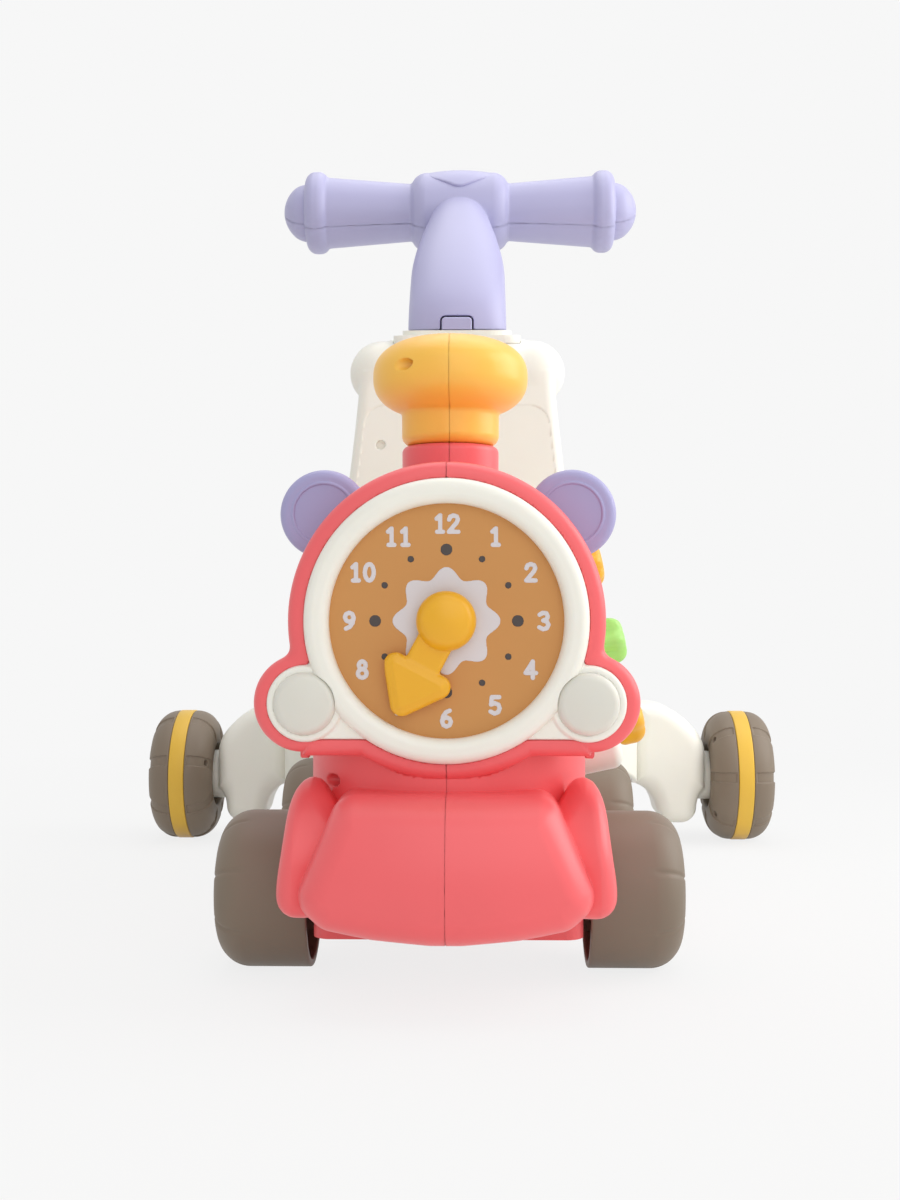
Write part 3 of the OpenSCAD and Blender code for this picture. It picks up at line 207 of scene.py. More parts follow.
# Injection-moulded shells: an even colour with a soft broad sheen
RED = Finish("coral red ABS, moulded satin", "#F4666A", 0.38, "red")
IVORY = Finish("ivory ABS, moulded satin", "#F4F2E8", 0.4, "ivory", depth=0.08)
MILK = Finish("milky polypropylene, moulded satin", "#DFDDD3", 0.42, "ivory", depth=0.12)
LAVENDER = Finish("lavender ABS, moulded satin", "#B4B2D6", 0.4, "lavender")
VIOLET = Finish("violet ABS, moulded satin", "#A8A4CE", 0.42, "violet")
ORANGE = Finish("orange ABS, moulded satin", "#FFC552", 0.36, "orange", depth=0.08)
BAND = Finish("yellow polyethylene, moulded satin", "#E4B840", 0.42, "yellow")
YELLOW = Finish("yellow ABS, moulded satin", "#EEB020", 0.36, "yellow", depth=0.06)
GREEN = Finish("light green ABS, moulded satin", "#A6E274", 0.38, "green", depth=0.06)
# Blow-moulded wheels: duller, with a grain that spreads the highlight
TAUPE = Finish("taupe polyethylene, moulded matt", "#7F7161", 0.52, "taupe", grain_height_mm=0.02)
# Printed dial: a matt film with flat inks
TAN = Finish("tan polypropylene sheet, printed matt", "#CB8F4E", 0.5, "brown")
INK_PALE = Finish("pale screen ink", "#DAD4D7", 0.55, "ivory", mottle=0.01)
INK_DARK = Finish("dark screen ink", "#463E3C", 0.5, "dark", mottle=0.01)
# Metal and inner plastics, seen through holes and from below: small sharp glints and dull dark shapes
STEEL = Finish("zinc plated steel, turned", "#B8BCC0", 0.32, "steel", metallic=1.0, grain_mm=0.2)
BLACKED = Finish("blackened steel, cold headed", "#3B3735", 0.45, "steel", metallic=1.0, grain_mm=0.2)
DARK = Finish("black polystyrene, moulded matt", "#4A4240", 0.6, "dark")
BOARD = Finish("circuit board, lacquered", "#3E8E5A", 0.4, "board")


def mesh_object(name: str, points: np.ndarray, faces: Sequence[Sequence[int]]) -> bpy.types.Object:
    """Makes a smooth mesh object.

    Args:
        name: Object name.
        points: Corners in millimetres, one row each.
        faces: Corner numbers of each face.

    Returns:
        The object, linked to the scene.
    """
    mesh = bpy.data.meshes.new(name)
    rows = np.asarray(faces)
    mesh.vertices.add(len(points))
    mesh.vertices.foreach_set("co", (np.asarray(points, np.float32) * MM).ravel())
    size = rows.shape[1]
    mesh.loops.add(rows.size)
    mesh.loops.foreach_set("vertex_index", rows.astype(np.int32).ravel())
    mesh.polygons.add(len(rows))
    mesh.polygons.foreach_set("loop_start", np.arange(0, rows.size, size, dtype=np.int32))
    mesh.polygons.foreach_set("use_smooth", np.ones(len(rows), bool))
    mesh.update(calc_edges=True)
    mesh.validate()
    made = bpy.data.objects.new(name, mesh)
    bpy.context.scene.collection.objects.link(made)
    return made


def slope(form: Field, points: np.ndarray, step: float) -> np.ndarray:
    """Measures how a field rises at some points.

    Args:
        form: Distance field.
        points: One row each, in millimetres.
        step: Distance over which the rise is taken.

    Returns:
        The gradient at each point.
    """
    out = np.empty_like(points)
    for axis in range(3):
        shift = np.zeros(3)
        shift[axis] = step
        out[:, axis] = (form((points + shift).T) - form((points - shift).T)) / (2 * step)
    return out


def moulded(
    name: str,
    form: Field,
    low: Sequence[float],
    high: Sequence[float],
    cell: float,
    skin: Field | None = None,
) -> bpy.types.Object:
    """Skins a distance field and settles the skin on the field's own surface.

    Args:
        name: Object name.
        form: Distance field in millimetres, negative inside.
        low: Lowest corner of the space that holds the form.
        high: Highest corner of that space.
        cell: Grid spacing.
        skin: Field that gives the normals, where a seam shouldn't turn them.

    Returns:
        The object, with normals from the field.
    """
    axes = [np.arange(a - 2.5 * cell, b + 3 * cell, cell) for a, b in zip(low, high)]
    grid = np.meshgrid(*axes, indexing="ij", sparse=True)
    shape = tuple(len(a) for a in axes)
    values = np.broadcast_to(form(grid), shape).astype(np.float32)
    volume = openvdb.FloatGrid(background=3.0 * cell)
    volume.copyFromArray(np.ascontiguousarray(np.clip(values, -3 * cell, 3 * cell)))
    points, quads = volume.convertToQuads()[:2]
    points = np.asarray(points, float) * cell + np.array([a[0] for a in axes])
    for _ in range(3):
        rise = slope(form, points, 0.05)
        steep = np.maximum((rise**2).sum(1), 0.05)
        move = rise * (form(points.T) / steep)[:, None]
        length = np.linalg.norm(move, axis=1)[:, None]
        points -= move * np.minimum(1.0, 0.5 * cell / np.maximum(length, 1e-9))
    made = mesh_object(name, points, np.asarray(quads)[:, ::-1])
    normals = slope(skin or form, points, 0.12)
    normals /= np.maximum(np.linalg.norm(normals, axis=1), 1e-9)[:, None]
    if (normals * vertex_normals(made)).sum() < 0:
        made.data.flip_normals()
    made.data.normals_split_custom_set_from_vertices([tuple(n) for n in normals])
    return made


def vertex_normals(thing: bpy.types.Object) -> np.ndarray:
    """Reads a mesh's own corner normals.

    Args:
        thing: Mesh object.

    Returns:
        One row for each corner.
    """
    out = np.zeros(len(thing.data.vertices) * 3, np.float32)
    thing.data.vertex_normals.foreach_get("vector", out)
    return out.reshape(-1, 3)


def sided(form: Field, side: Side) -> Field:
    """Gives a right-hand form its side.

    Args:
        form: Distance field of the right-hand piece.
        side: Side that is wanted.

    Returns:
        The field, turned over for the left.
    """
    return form if side is Side.RIGHT else lambda p: form((-p[0], p[1], p[2]))


def span(low: Sequence[float], high: Sequence[float], side: Side) -> tuple[list[float], list[float]]:
    """Gives a right-hand box its side.

    Args:
        low: Lowest corner on the right.
        high: Highest corner on the right.
        side: Side that is wanted.

    Returns:
        Lowest and highest corner on that side.
    """
    if side is Side.RIGHT:
        return list(low), list(high)
    return [-high[0], low[1], low[2]], [-low[0], high[1], high[2]]


def soft_min(a: np.ndarray, b: np.ndarray, k: float) -> np.ndarray:
    """Joins two fields with a fillet.

    Args:
        a: First distance.
        b: Second distance.
        k: Size of the fillet.

    Returns:
        The distance to the joined form.
    """
    h = np.clip(0.5 + 0.5 * (b - a) / k, 0, 1)
    return b + (a - b) * h - k * h * (1 - h)


def soft_max(a: np.ndarray, b: np.ndarray, k: float) -> np.ndarray:
    """Cuts one field by another with a rounded edge.

    Args:
        a: First distance.
        b: Second distance.
        k: Size of the round.

    Returns:
        The distance to what both hold.
    """
    return -soft_min(-a, -b, k)


def drawn(flat: np.ndarray, along: np.ndarray, r: float) -> np.ndarray:
    """Draws an outline out, with rounded rims.

    Args:
        flat: Distance to the outline.
        along: Distance beyond the nearer end.
        r: Radius of the rims.

    Returns:
        The distance to the solid.
    """
    u, v = flat + r, along + r
    return np.minimum(np.maximum(u, v), 0) + np.hypot(np.maximum(u, 0), np.maximum(v, 0)) - r


def between(value: np.ndarray, low: float, high: float) -> np.ndarray:
    """Measures how far a value lies outside a span.

    Args:
        value: Places.
        low: Start of the span.
        high: End of the span.

    Returns:
        Distance beyond the nearer end, negative inside.
    """
    return np.abs(value - (low + high) / 2) - (high - low) / 2


def rectangle(u: np.ndarray, v: np.ndarray, half_u: float, half_v: float, r: float) -> np.ndarray:
    """Measures the distance to a rectangle with round corners.

    Args:
        u: First coordinate from the middle.
        v: Second coordinate from the middle.
        half_u: Half of its width.
        half_v: Half of its height.
        r: Corner radius.

    Returns:
        Signed distance.
    """
    return drawn(np.abs(u) - half_u, np.abs(v) - half_v, r)


def outline(u: np.ndarray, v: np.ndarray, points: Sequence[Point], r: float) -> np.ndarray:
    """Measures the distance to a polygon that is grown evenly.

    Args:
        u: First coordinate.
        v: Second coordinate.
        points: Corners of the polygon before it grows.
        r: How far it grows, which is also the radius of its corners.

    Returns:
        Signed distance.
    """
    near: np.ndarray | float = np.inf
    sign: np.ndarray | float = 1.0
    for (ax, ay), (bx, by) in zip(points, [*points[1:], points[0]]):
        ex, ey = bx - ax, by - ay
        wx, wy = u - ax, v - ay
        t = np.clip((wx * ex + wy * ey) / (ex * ex + ey * ey), 0, 1)
        near = np.minimum(near, (wx - ex * t) ** 2 + (wy - ey * t) ** 2)
        above, under, left = v >= ay, v < by, ex * wy > ey * wx
        sign = np.where((above & under & left) | (~above & ~under & ~left), -sign, sign)
    return sign * np.sqrt(near) - r


def both_sides(points: Sequence[Point]) -> list[Point]:
    """Completes an outline that is drawn for the right side only.

    Args:
        points: Corners from top to bottom, at the right.

    Returns:
        Corners of the whole outline.
    """
    return [*points, *[(-u, v) for u, v in reversed(points)]]


def softened(points: Sequence[Point], rounds: int) -> list[Point]:
    """Rounds a closed outline by cutting its corners again and again.

    Args:
        points: Corners of the outline.
        rounds: How often the corners are cut.

    Returns:
        Points of a smooth outline.
    """
    line = np.array(points, float)
    for _ in range(rounds):
        after = np.roll(line, -1, 0)
        line = np.stack([0.75 * line + 0.25 * after, 0.25 * line + 0.75 * after], 1).reshape(-1, 2)
    return [(u, v) for u, v in line.tolist()]


def rod_x(y: np.ndarray, z: np.ndarray, x: np.ndarray, r: float, x0: float, x1: float) -> np.ndarray:
    """Measures the distance to a rod along X.

    Args:
        y: Distance from the rod's axis.
        z: Height from the rod's axis.
        x: Place along the rod.
        r: Radius.
        x0: Start of the rod.
        x1: End of the rod.

    Returns:
        Signed distance.
    """
    return np.maximum(np.hypot(y, z) - r, between(x, x0, x1))


def bore(back: float, up: float, r: float, ends: Point, stretch: float = 1.0) -> Field:
    """Gives a screw hole along X.

    Args:
        back: Place behind the front axle.
        up: Height.
        r: Radius.
        ends: Start and end of the hole along X.
        stretch: How many times longer than high it is.

    Returns:
        Distance field of the hole.
    """
    return lambda p: rod_x((p[1] - AXLE_Y - back) / stretch, p[2] - up, p[0], r, *ends)


def half_of(form: Field, holes: Sequence[Hole], side: Side, seam: float, p: Spot) -> np.ndarray:
    """Cuts a form on the centre plane and opens its screw holes, which are all on the left.

    Args:
        form: Distance field of the whole form.
        holes: Distance field of each hole and the round of its edge.
        side: Side that is kept.
        seam: Distance of the cut from the centre plane.
        p: Places.

    Returns:
        Signed distance.
    """
    solid = soft_max(form(p), seam - side.value * p[0], SEAM_EDGE)
    for hole, edge in holes if side is Side.LEFT else ():
        solid = soft_max(solid, -hole(p), edge)
    return solid


def in_sleeve(p: Spot) -> tuple[np.ndarray, np.ndarray]:
    """Turns places into the frame of the push handle's sleeve.

    Args:
        p: Places.

    Returns:
        Place behind the sleeve's axis and height above its rim.
    """
    c, s = math.cos(SLEEVE_TILT), math.sin(SLEEVE_TILT)
    b, up = p[1] - AXLE_Y - SLEEVE[0], p[2] - SLEEVE[1]
    return b * c + up * s, up * c - b * s


def place(
    thing: bpy.types.Object, finish: Finish, body: Body, nodes: Iterable[str] = ()
) -> bpy.types.Object:
    """Gives a piece its finish and the CAD body it rides on.

    Args:
        thing: The piece.
        finish: Its material.
        body: CAD body that carries it.
        nodes: CAD nodes that it stands for.

    Returns:
        The piece.
    """
    thing.data.materials.clear()
    thing.data.materials.append(finish.material())
    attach(thing, body.value)
    if nodes:
        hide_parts(*nodes)
    LOG.info("%s: %s, on %s", thing.name, finish.name, body.value)
    return thing


def parted(
    name: str,
    form: Field,
    holes: Sequence[Hole],
    low: Sequence[float],
    high: Sequence[float],
    cell: float,
    finish: Finish,
) -> None:
    """Makes a shell that is parted on the centre plane.

    Args:
        name: Start of its nodes' names.
        form: Distance field of the whole shell.
        holes: Distance field of each screw hole and the round of its edge.
        low: Lowest corner of the space that holds the right half.
        high: Highest corner of that space.
        cell: Grid spacing.
        finish: Its material.
    """
    for side in Side:
        half = partial(half_of, form, holes, side)
        box = span(low, high, side)
        made = moulded(f"{name}_{side.word}_shell", partial(half, SEAM), *box, cell, partial(half, APART))
        place(made, finish, Body.TRAIN, [f"{name}_{side.word}"])


def paired(
    name: str,
    form: Field,
    low: Sequence[float],
    high: Sequence[float],
    cell: float,
    finish: Finish,
    skin: Field | None = None,
) -> None:
    """Makes a right-hand piece and its mirror image.

    Args:
        name: Start of their nodes' names.
        form: Distance field of the right-hand piece.
        low: Lowest corner of the space that holds it.
        high: Highest corner of that space.
        cell: Grid spacing.
        finish: Their material.
        skin: Field that gives the normals of both.
    """
    for side in Side:
        made = moulded(f"{name}_{side.word}_shell", sided(form, side), *span(low, high, side), cell, skin)
        place(made, finish, Body.TRAIN, [f"{name}_{side.word}"])


def dress(nodes: Iterable[str], finish: Finish, edge_mm: float = 0.0) -> None:
    """Gives CAD nodes that are shown as they are a finish and softened edges.

    Args:
        nodes: Node names.
        finish: Their material.
        edge_mm: Width of the softened edges.
    """
    for name in nodes:
        thing = frame["nodes"][name]
        thing.data.materials.clear()
        thing.data.materials.append(finish.material())
        if edge_mm:
            weld = thing.modifiers.new("weld", "WELD")
            weld.merge_threshold = 0.02 * MM
            bevel = thing.modifiers.new("edges", "BEVEL")
            bevel.width = edge_mm * MM
            bevel.segments = 2
            bevel.limit_method = "ANGLE"
            bevel.angle_limit = math.radians(35)
            bevel.harden_normals = True
        LOG.info("%s: %s", name, finish.name)


def turned(
    name: str,
    profile: Sequence[Point],
    origin: Sequence[float],
    way: int,
    steps: int,
    press: Callable[[np.ndarray, np.ndarray], np.ndarray] | None = None,
) -> bpy.types.Object:
    """Turns a closed profile about an axis along X.

    Args:
        name: Object name.
        profile: Radius and place along the axis, as a closed line.
        origin: Where the axis starts.
        way: 1 if the profile's places run to the right, -1 if they run to the left.
        steps: Number of steps round the axis.
        press: How far the surface is pressed in, from angle and place.

    Returns:
        The object.
    """
    line = np.array(profile, float)
    angle = np.arange(steps) * 2 * math.pi / steps
    radius = np.repeat(line[:, 0][None, :], steps, 0)
    along = np.repeat(line[:, 1][None, :], steps, 0)
    if press:
        step = np.roll(line, -1, 0) - np.roll(line, 1, 0)
        out = np.stack([step[:, 1], -step[:, 0]], 1)
        out /= np.maximum(np.linalg.norm(out, axis=1), 1e-9)[:, None]
        depth = press(angle[:, None], line[:, 1][None, :]) * (line[:, 0] > 0)[None, :]
        radius = radius - depth * out[:, 0]
        along = along - depth * out[:, 1]
    turn = angle[:, None]
    points = np.stack(
        [origin[0] + way * along, origin[1] + radius * np.cos(turn), origin[2] + radius * np.sin(turn)], -1
    )
    count = len(line)
    i, j = np.meshgrid(np.arange(steps), np.arange(count), indexing="ij")
    i2, j2 = (i + 1) % steps, (j + 1) % count
    faces = np.stack([i * count + j, i2 * count + j, i2 * count + j2, i * count + j2], -1).reshape(-1, 4)
    made = mesh_object(name, points.reshape(-1, 3), faces if way > 0 else faces[:, ::-1])
    made.data.set_sharp_from_angle(angle=math.radians(40))
    return made


def arc(cr: float, ca: float, r: float, start: float, end: float, steps: int) -> list[Point]:
    """Lists points on an arc of a profile.

    Args:
        cr: Centre, as a radius.
        ca: Centre, as a place along the axis.
        r: Radius of the arc.
        start: First angle in degrees, from the radius towards the axis' end.
        end: Last angle.
        steps: Number of steps.

    Returns:
        Points of radius and place.
    """
    angles = (math.radians(start + (end - start) * i / steps) for i in range(steps + 1))
    return [(cr + r * math.cos(a), ca + r * math.sin(a)) for a in angles]


@dataclass
class Rollers:
    """Four cup-shaped rollers, open towards the train."""

    radius: float = 36.0
    inner_x: float = 63.3
    width: float = 43.5
    shoulder: float = 15.0
    wall: float = 3.6
    hub: float = 10.0
    pocket: float = 11.0
    pocket_depth: float = 7.0
    bore: float = 4.1
    rim: float = 1.0
    petals: int = 8
    line_depth: float = 0.55
    line_half: float = 1.1
    steps: int = 288
    backs: dict[str, float] = field(default_factory=lambda: {"front": 0.0, "middle": 222.0})

    def profile(self) -> list[Point]:
        """Returns: the closed section of one roller."""
        r, w, s, rim = self.radius, self.width, self.shoulder, self.rim
        deep = w - self.pocket_depth - self.wall
        return [
            (self.bore, 2.0),
            (self.hub, 2.0),
            (self.hub, deep - 3),
            (self.hub + 3, deep),
            (r - self.wall - 4, deep),
            (r - self.wall, deep - 5),
            (r - self.wall, rim),
            *arc(r - self.wall + rim, rim, rim, 180, 270, 4),
            *arc(r - rim, rim, rim, -90, 0, 4),
            *[(r, a) for a in np.linspace(3, w - s - 1, 8)],
            *arc(r - s, w - s, s, 0, 84, 22),
            (self.pocket + 2, w - 0.1),
            *arc(self.pocket + 1, w - 1.1, 1.0, 90, 180, 4),
            (self.pocket, w - self.pocket_depth),
            (self.bore, w - self.pocket_depth),
        ]

    def press(self, angle: np.ndarray, along: np.ndarray) -> np.ndarray:
        """Presses the faint lines between the petals into the shoulder.

        Args:
            angle: Angle round the axis.
            along: Place along the axis.

        Returns:
            Depth of the lines.
        """
        step = 2 * math.pi / self.petals
        off = (np.mod(angle, step) - step / 2) * self.radius
        zone = np.clip((along - (self.width - self.shoulder - 1)) / 3, 0, 1)
        return self.line_depth * np.exp(-((off / self.line_half) ** 2)) * zone

    def build(self) -> None:
        """Makes the rollers."""
        for row, back in self.backs.items():
            for side in Side:
                name = f"{row}_roller_{side.word}"
                made = turned(
                    f"{name}_shell",
                    self.profile(),
                    (side.value * self.inner_x, AXLE_Y + back, self.radius),
                    side.value,
                    self.steps,
                    self.press,
                )
                place(made, TAUPE, Body(name), [name])

    def dress(self) -> None:
        """Finishes the axles and caps."""
        dress(["front_axle", "middle_axle"], STEEL)
        dress(["axle_caps"], TAUPE, 0.8)


@dataclass
class RearWheels:
    """Two barrel wheels, each in two lugged halves with a band between them."""

    radius: float = 45.2
    middle_x: float = 196.35
    half_w: float = 21.75
    band_w: float = 10.5
    shoulder: float = 15.5
    groove_end: float = 24.0
    back: float = 363.0
    centre_z: float = 45.6
    lugs: int = 8
    strip_half: float = 3.4
    strip_depth: float = 0.9
    strip_edge: float = 0.7
    screw_r: float = 36.0
    hole_r: float = 2.0
    hole_floor: float = 9.0
    bore: float = 5.2
    dish_round: float = 2.2
    inner_dish: Point = (22.0, 7.5)
    outer_dish: Point = (13.0, 6.0)
    band_depth: float = 7.0
    band_out: float = 0.4
    band_edge: float = 0.8
    turn_deg: dict[Side, float] = field(default_factory=lambda: {Side.LEFT: 18.0, Side.RIGHT: 4.0})

    def half(self, side: Side, way: int, dish: Point, p: Spot) -> np.ndarray:
        """Measures the distance to one half of a wheel, with screw holes in the inner half.

        Args:
            side: Side of the wheel.
            way: 1 for the outer half and -1 for the inner half.
            dish: Radius and depth of the dished end.
            p: Places.

        Returns:
            Signed distance.
        """
        x, y, z = p
        turn = math.pi - math.radians(self.turn_deg[side])
        step = 2 * math.pi / self.lugs
        a = way * (side.value * x - self.middle_x)
        u, v = y - AXLE_Y - self.back, z - self.centre_z
        r = np.hypot(u, v)
        off = np.abs(np.mod(np.arctan2(v, u) - turn + step / 2, step) - step / 2) * r
        wall = np.clip((self.strip_half - off) / self.strip_edge + 0.5, 0, 1)
        zone = np.clip((a - self.band_w / 2 - 1.2) / 0.8, 0, 1) * np.clip((r - self.groove_end) / 5, 0, 1)
        shell = drawn(r - self.radius, a - self.half_w, self.shoulder)
        shell = shell + self.strip_depth * wall * wall * (3 - 2 * wall) * zone
        shell = soft_max(shell, -np.maximum(r - dish[0], self.half_w - dish[1] - a), self.dish_round)
        shell = np.maximum(soft_max(shell, self.band_w / 2 + 0.1 - a, 0.5), self.bore - r)
        for k in range(0, self.lugs if way < 0 else 0, 2):
            at = turn + (k + 1) * step if side is Side.RIGHT else turn + k * step
            hole = np.hypot(u - self.screw_r * math.cos(at), v - self.screw_r * math.sin(at)) - self.hole_r
            shell = soft_max(shell, -np.maximum(hole, self.hole_floor - a), 0.5)
        return shell

    def build(self) -> None:
        """Makes the wheel halves and the bands."""
        for side in Side:
            body = Body(f"wheel_{side.word}")
            y = AXLE_Y + self.back
            for word, way, dish in (("inner", -1, self.inner_dish), ("outer", 1, self.outer_dish)):
                name = f"wheel_{side.word}_{word}"
                reach = (self.middle_x, self.middle_x + way * self.half_w)
                low, high = span(
                    (min(reach), y - self.radius, self.centre_z - self.radius),
                    (max(reach), y + self.radius, self.centre_z + self.radius),
                    side,
                )
                made = moulded(f"{name}_shell", partial(self.half, side, way, dish), low, high, 0.7)
                place(made, TAUPE, body, [name])
            half, edge = self.band_w / 2, self.band_edge
            r, inner = self.radius + self.band_out, self.radius - self.band_depth
            ring = [
                (inner, -half),
                *arc(r - edge, edge - half, edge, -90, -5, 4),
                *arc(r - edge, half - edge, edge, 5, 90, 4),
                (inner, half),
            ]
            name = f"wheel_{side.word}_band"
            made = turned(f"{name}_ring", ring, (side.value * self.middle_x, y, self.centre_z), 1, 256)
            place(made, BAND, body, [name])

    def dress(self) -> None:
        """Finishes the axles, caps and screws."""
        dress(["rear_axles"], STEEL)
        dress(["wheel_left_screws", "wheel_right_screws"], BLACKED)
        dress(["rear_caps"], TAUPE, 0.8)


@dataclass
class Pan:
    """Bottom pan with its battery door."""

    edge_mm: float = 2.0

    def dress(self) -> None:
        """Finishes the pan and what lies in it."""
        dress(["chassis_pan"], RED, self.edge_mm)
        dress(["battery_door"], RED, 0.6)
        dress(["speaker", "battery_box", "switch_pads"], DARK)
        dress(["battery_cells"], STEEL)
        dress(["circuit_board"], BOARD)


@dataclass
class Bumper:
    """Pillow-shaped bumper with a fender on each side, in two halves."""

    front: float = -100.0
    rear: float = -42.0
    corner: float = 11.0
    edge: float = 12.0
    bow_x: Point = (7.0, 60.0)
    bow_z: Point = (13.0, 40.0)
    bow_middle: float = 50.0
    face: tuple[Point, ...] = ((37.5, 78.4), (49.8, 48.5), (46, 45.2), (29, 42.2), (6, 40.2))
    fender_front: float = -80.0
    fender_rear: float = -42.5
    fender_corner: float = 5.0
    fender_edge: float = 7.0
    fender_out: float = 64.0
    fender_slant: float = 0.24
    fender_lean: float = 30.0
    fender_rise: Point = (58.0, 38.0)
    fender: tuple[Point, ...] = (
        (36, 66),
        (47, 73),
        (54, 82),
        (58.5, 89.5),
        (62.5, 84),
        (64, 66),
        (66.5, 50),
        (66, 43),
        (60, 42),
        (36, 43),
    )

    def form(self, p: Spot) -> np.ndarray:
        """Measures the distance to the whole bumper.

        Args:
            p: Places.

        Returns:
            Signed distance.
        """
        x, y, z = p
        b = y - AXLE_Y
        wide = np.abs(x)
        (fall_x, reach_x), (fall_z, reach_z) = self.bow_x, self.bow_z
        bulge = self.front + fall_x * (wide / reach_x) ** 2 + fall_z * ((z - self.bow_middle) / reach_z) ** 2
        pillow = drawn(outline(wide, z, both_sides(self.face), self.corner), bulge - b, self.edge)
        pillow = np.maximum(pillow, b - self.rear)
        start, length = self.fender_rise
        recede = self.fender_front + self.fender_slant * np.maximum(self.fender_out - wide, 0)
        recede = recede + self.fender_lean * np.clip((z - start) / length, 0, 1) ** 2
        side = outline(wide, z, softened(self.fender, 2), self.fender_corner)
        wing = drawn(side, (recede - b) * 0.8, self.fender_edge)
        wing = np.maximum(wing, b - self.fender_rear)
        return soft_min(pillow, wing, 0.6)

    def half(self, p: Spot) -> np.ndarray:
        """Measures the distance to the right half."""
        return np.maximum(self.form(p), SEAM - p[0])

    def build(self) -> None:
        """Makes both halves."""
        low, high = (0, AXLE_Y + self.front, 24), (75, AXLE_Y + self.rear, 100)
        paired("bumper", self.half, low, high, 0.75, RED, self.form)


@dataclass
class Boiler:
    """Boiler with its bezel, lamp lobes, neck and chimney collar, in two halves."""

    axis_z: float = 161.7
    barrel_r: float = 64.0
    rear: float = 62.0
    bezel_r: float = 67.3
    bezel_front: float = -70.0
    bezel_rear: float = -45.0
    lobe_x: float = 61.0
    lobe_z: float = 127.0
    lobe_r: float = 20.8
    foot_z: float = 104.6
    neck_half: float = 61.5
    neck_r: float = 64.5
    neck_back: float = -3.0
    neck_low: float = 86.0
    collar_r: float = 22.8
    collar_back: float = 10.0
    collar_top: float = 243.0
    ring_r: float = 60.0
    lamp_x: float = 59.4
    lamp_ring_r: float = 16.0
    lamp_pocket_r: float = 13.8
    plate_foot: float = 112.0
    plate_floor: float = -64.0
    pocket_floor: float = -60.8
    socket_r: float = 18.2
    socket_floor: float = 225.0
    step_start: float = -62.0
    step_l: float = 20.0
    step_h: float = 10.0
    tab: Point = (61.0, 105.0)
    tab_ends: Point = (-57.0, -50.0)
    screw_holes: tuple[Point, ...] = ((-20, 112), (45, 112), (45, 206))
    hole_r: float = 3.0
    hole_ends: Point = (-80.0, -40.0)
    corner_hole: tuple[float, float, float] = (-43.0, 91.6, 2.6)
    corner_stretch: float = 1.5

    def plate(self, x: np.ndarray, z: np.ndarray) -> np.ndarray:
        """Measures the distance to the face plate's outline.

        Args:
            x: Across.
            z: Up.

        Returns:
            Signed distance in the plane of the face.
        """
        ring = np.hypot(x, z - self.axis_z) - self.ring_r
        lamp = np.hypot(np.abs(x) - self.lamp_x, z - self.lobe_z) - self.lamp_ring_r
        web = np.maximum(np.abs(x) - self.lamp_x, between(z, self.plate_foot, self.lobe_z))
        return np.minimum(soft_min(ring, lamp, 3.0), web)

    def bezel(self, x: np.ndarray, z: np.ndarray) -> np.ndarray:
        """Measures the distance to the bezel's outline.

        Args:
            x: Across.
            z: Up.

        Returns:
            Signed distance in the plane of the face.
        """
        ring = np.hypot(x, z - self.axis_z) - self.bezel_r
        lobe = np.hypot(np.abs(x) - self.lobe_x, z - self.lobe_z) - self.lobe_r
        web = np.maximum(np.abs(x) - self.lobe_x, between(z, self.foot_z, self.lobe_z))
        return np.minimum(soft_min(ring, lobe, 5.0), web)

    def form(self, p: Spot) -> np.ndarray:
        """Measures the distance to the whole boiler.

        Args:
            p: Places.

        Returns:
            Signed distance.
        """
        x, y, z = p
        b = y - AXLE_Y
        barrel = np.hypot(x, z - self.axis_z) - self.barrel_r
        barrel = drawn(barrel, between(b, self.bezel_front + 4, self.rear), 3.0)
        bezel = drawn(self.bezel(x, z), between(b, self.bezel_front, self.bezel_rear), 5.5)
        plan = np.hypot(x, np.minimum(b - self.neck_back, 0)) - self.neck_r
        plan = np.maximum(plan, np.abs(x) - self.neck_half)
        plan = np.maximum(plan, b - self.rear)
        step = np.clip((b - self.step_start) / self.step_l, 0, 1)
        low = self.neck_low - self.step_h * step
        neck = drawn(plan, np.maximum(low - z, z - self.axis_z), 1.5)
        neck = np.maximum(neck, drawn(np.abs(x) - self.neck_half, low - z, 13 - 11.5 * step))
        tab = rectangle(np.abs(x) - self.tab[0], z - self.tab[1], 2.0, 2.3, 0.7)
        tab = np.maximum(tab, between(b, *self.tab_ends))
        body = np.minimum(np.minimum(soft_min(barrel, bezel, 2.0), soft_min(neck, barrel, 2.0)), tab)
        up = np.hypot(x, b - self.collar_back)
        collar = drawn(up - self.collar_r, between(z, self.axis_z, self.collar_top), 3.0)
        body = soft_min(body, collar, 5.0)
        recess = np.maximum(self.plate(x, z) - 0.04, b - self.plate_floor)
        lamp = np.hypot(np.abs(x) - self.lamp_x, z - self.lobe_z)
        recess = np.minimum(recess, np.maximum(lamp - self.lamp_pocket_r, b - self.pocket_floor))
        socket = np.maximum(up - self.socket_r, self.socket_floor - z)
        return np.maximum(np.maximum(body, -recess), -socket)

    def build(self) -> None:
        """Makes both halves."""
        low, high = (0, AXLE_Y + self.bezel_front, 74), (83, AXLE_Y + self.rear, 245)
        holes = [(bore(*hole, self.hole_r, self.hole_ends), 0.6) for hole in self.screw_holes]
        holes.append((bore(*self.corner_hole, self.hole_ends, self.corner_stretch), 0.5))
        parted("boiler", self.form, holes, low, high, 0.95, RED)

    def dress(self) -> None:
        """Finishes the screws."""
        dress(["boiler_screws"], STEEL)


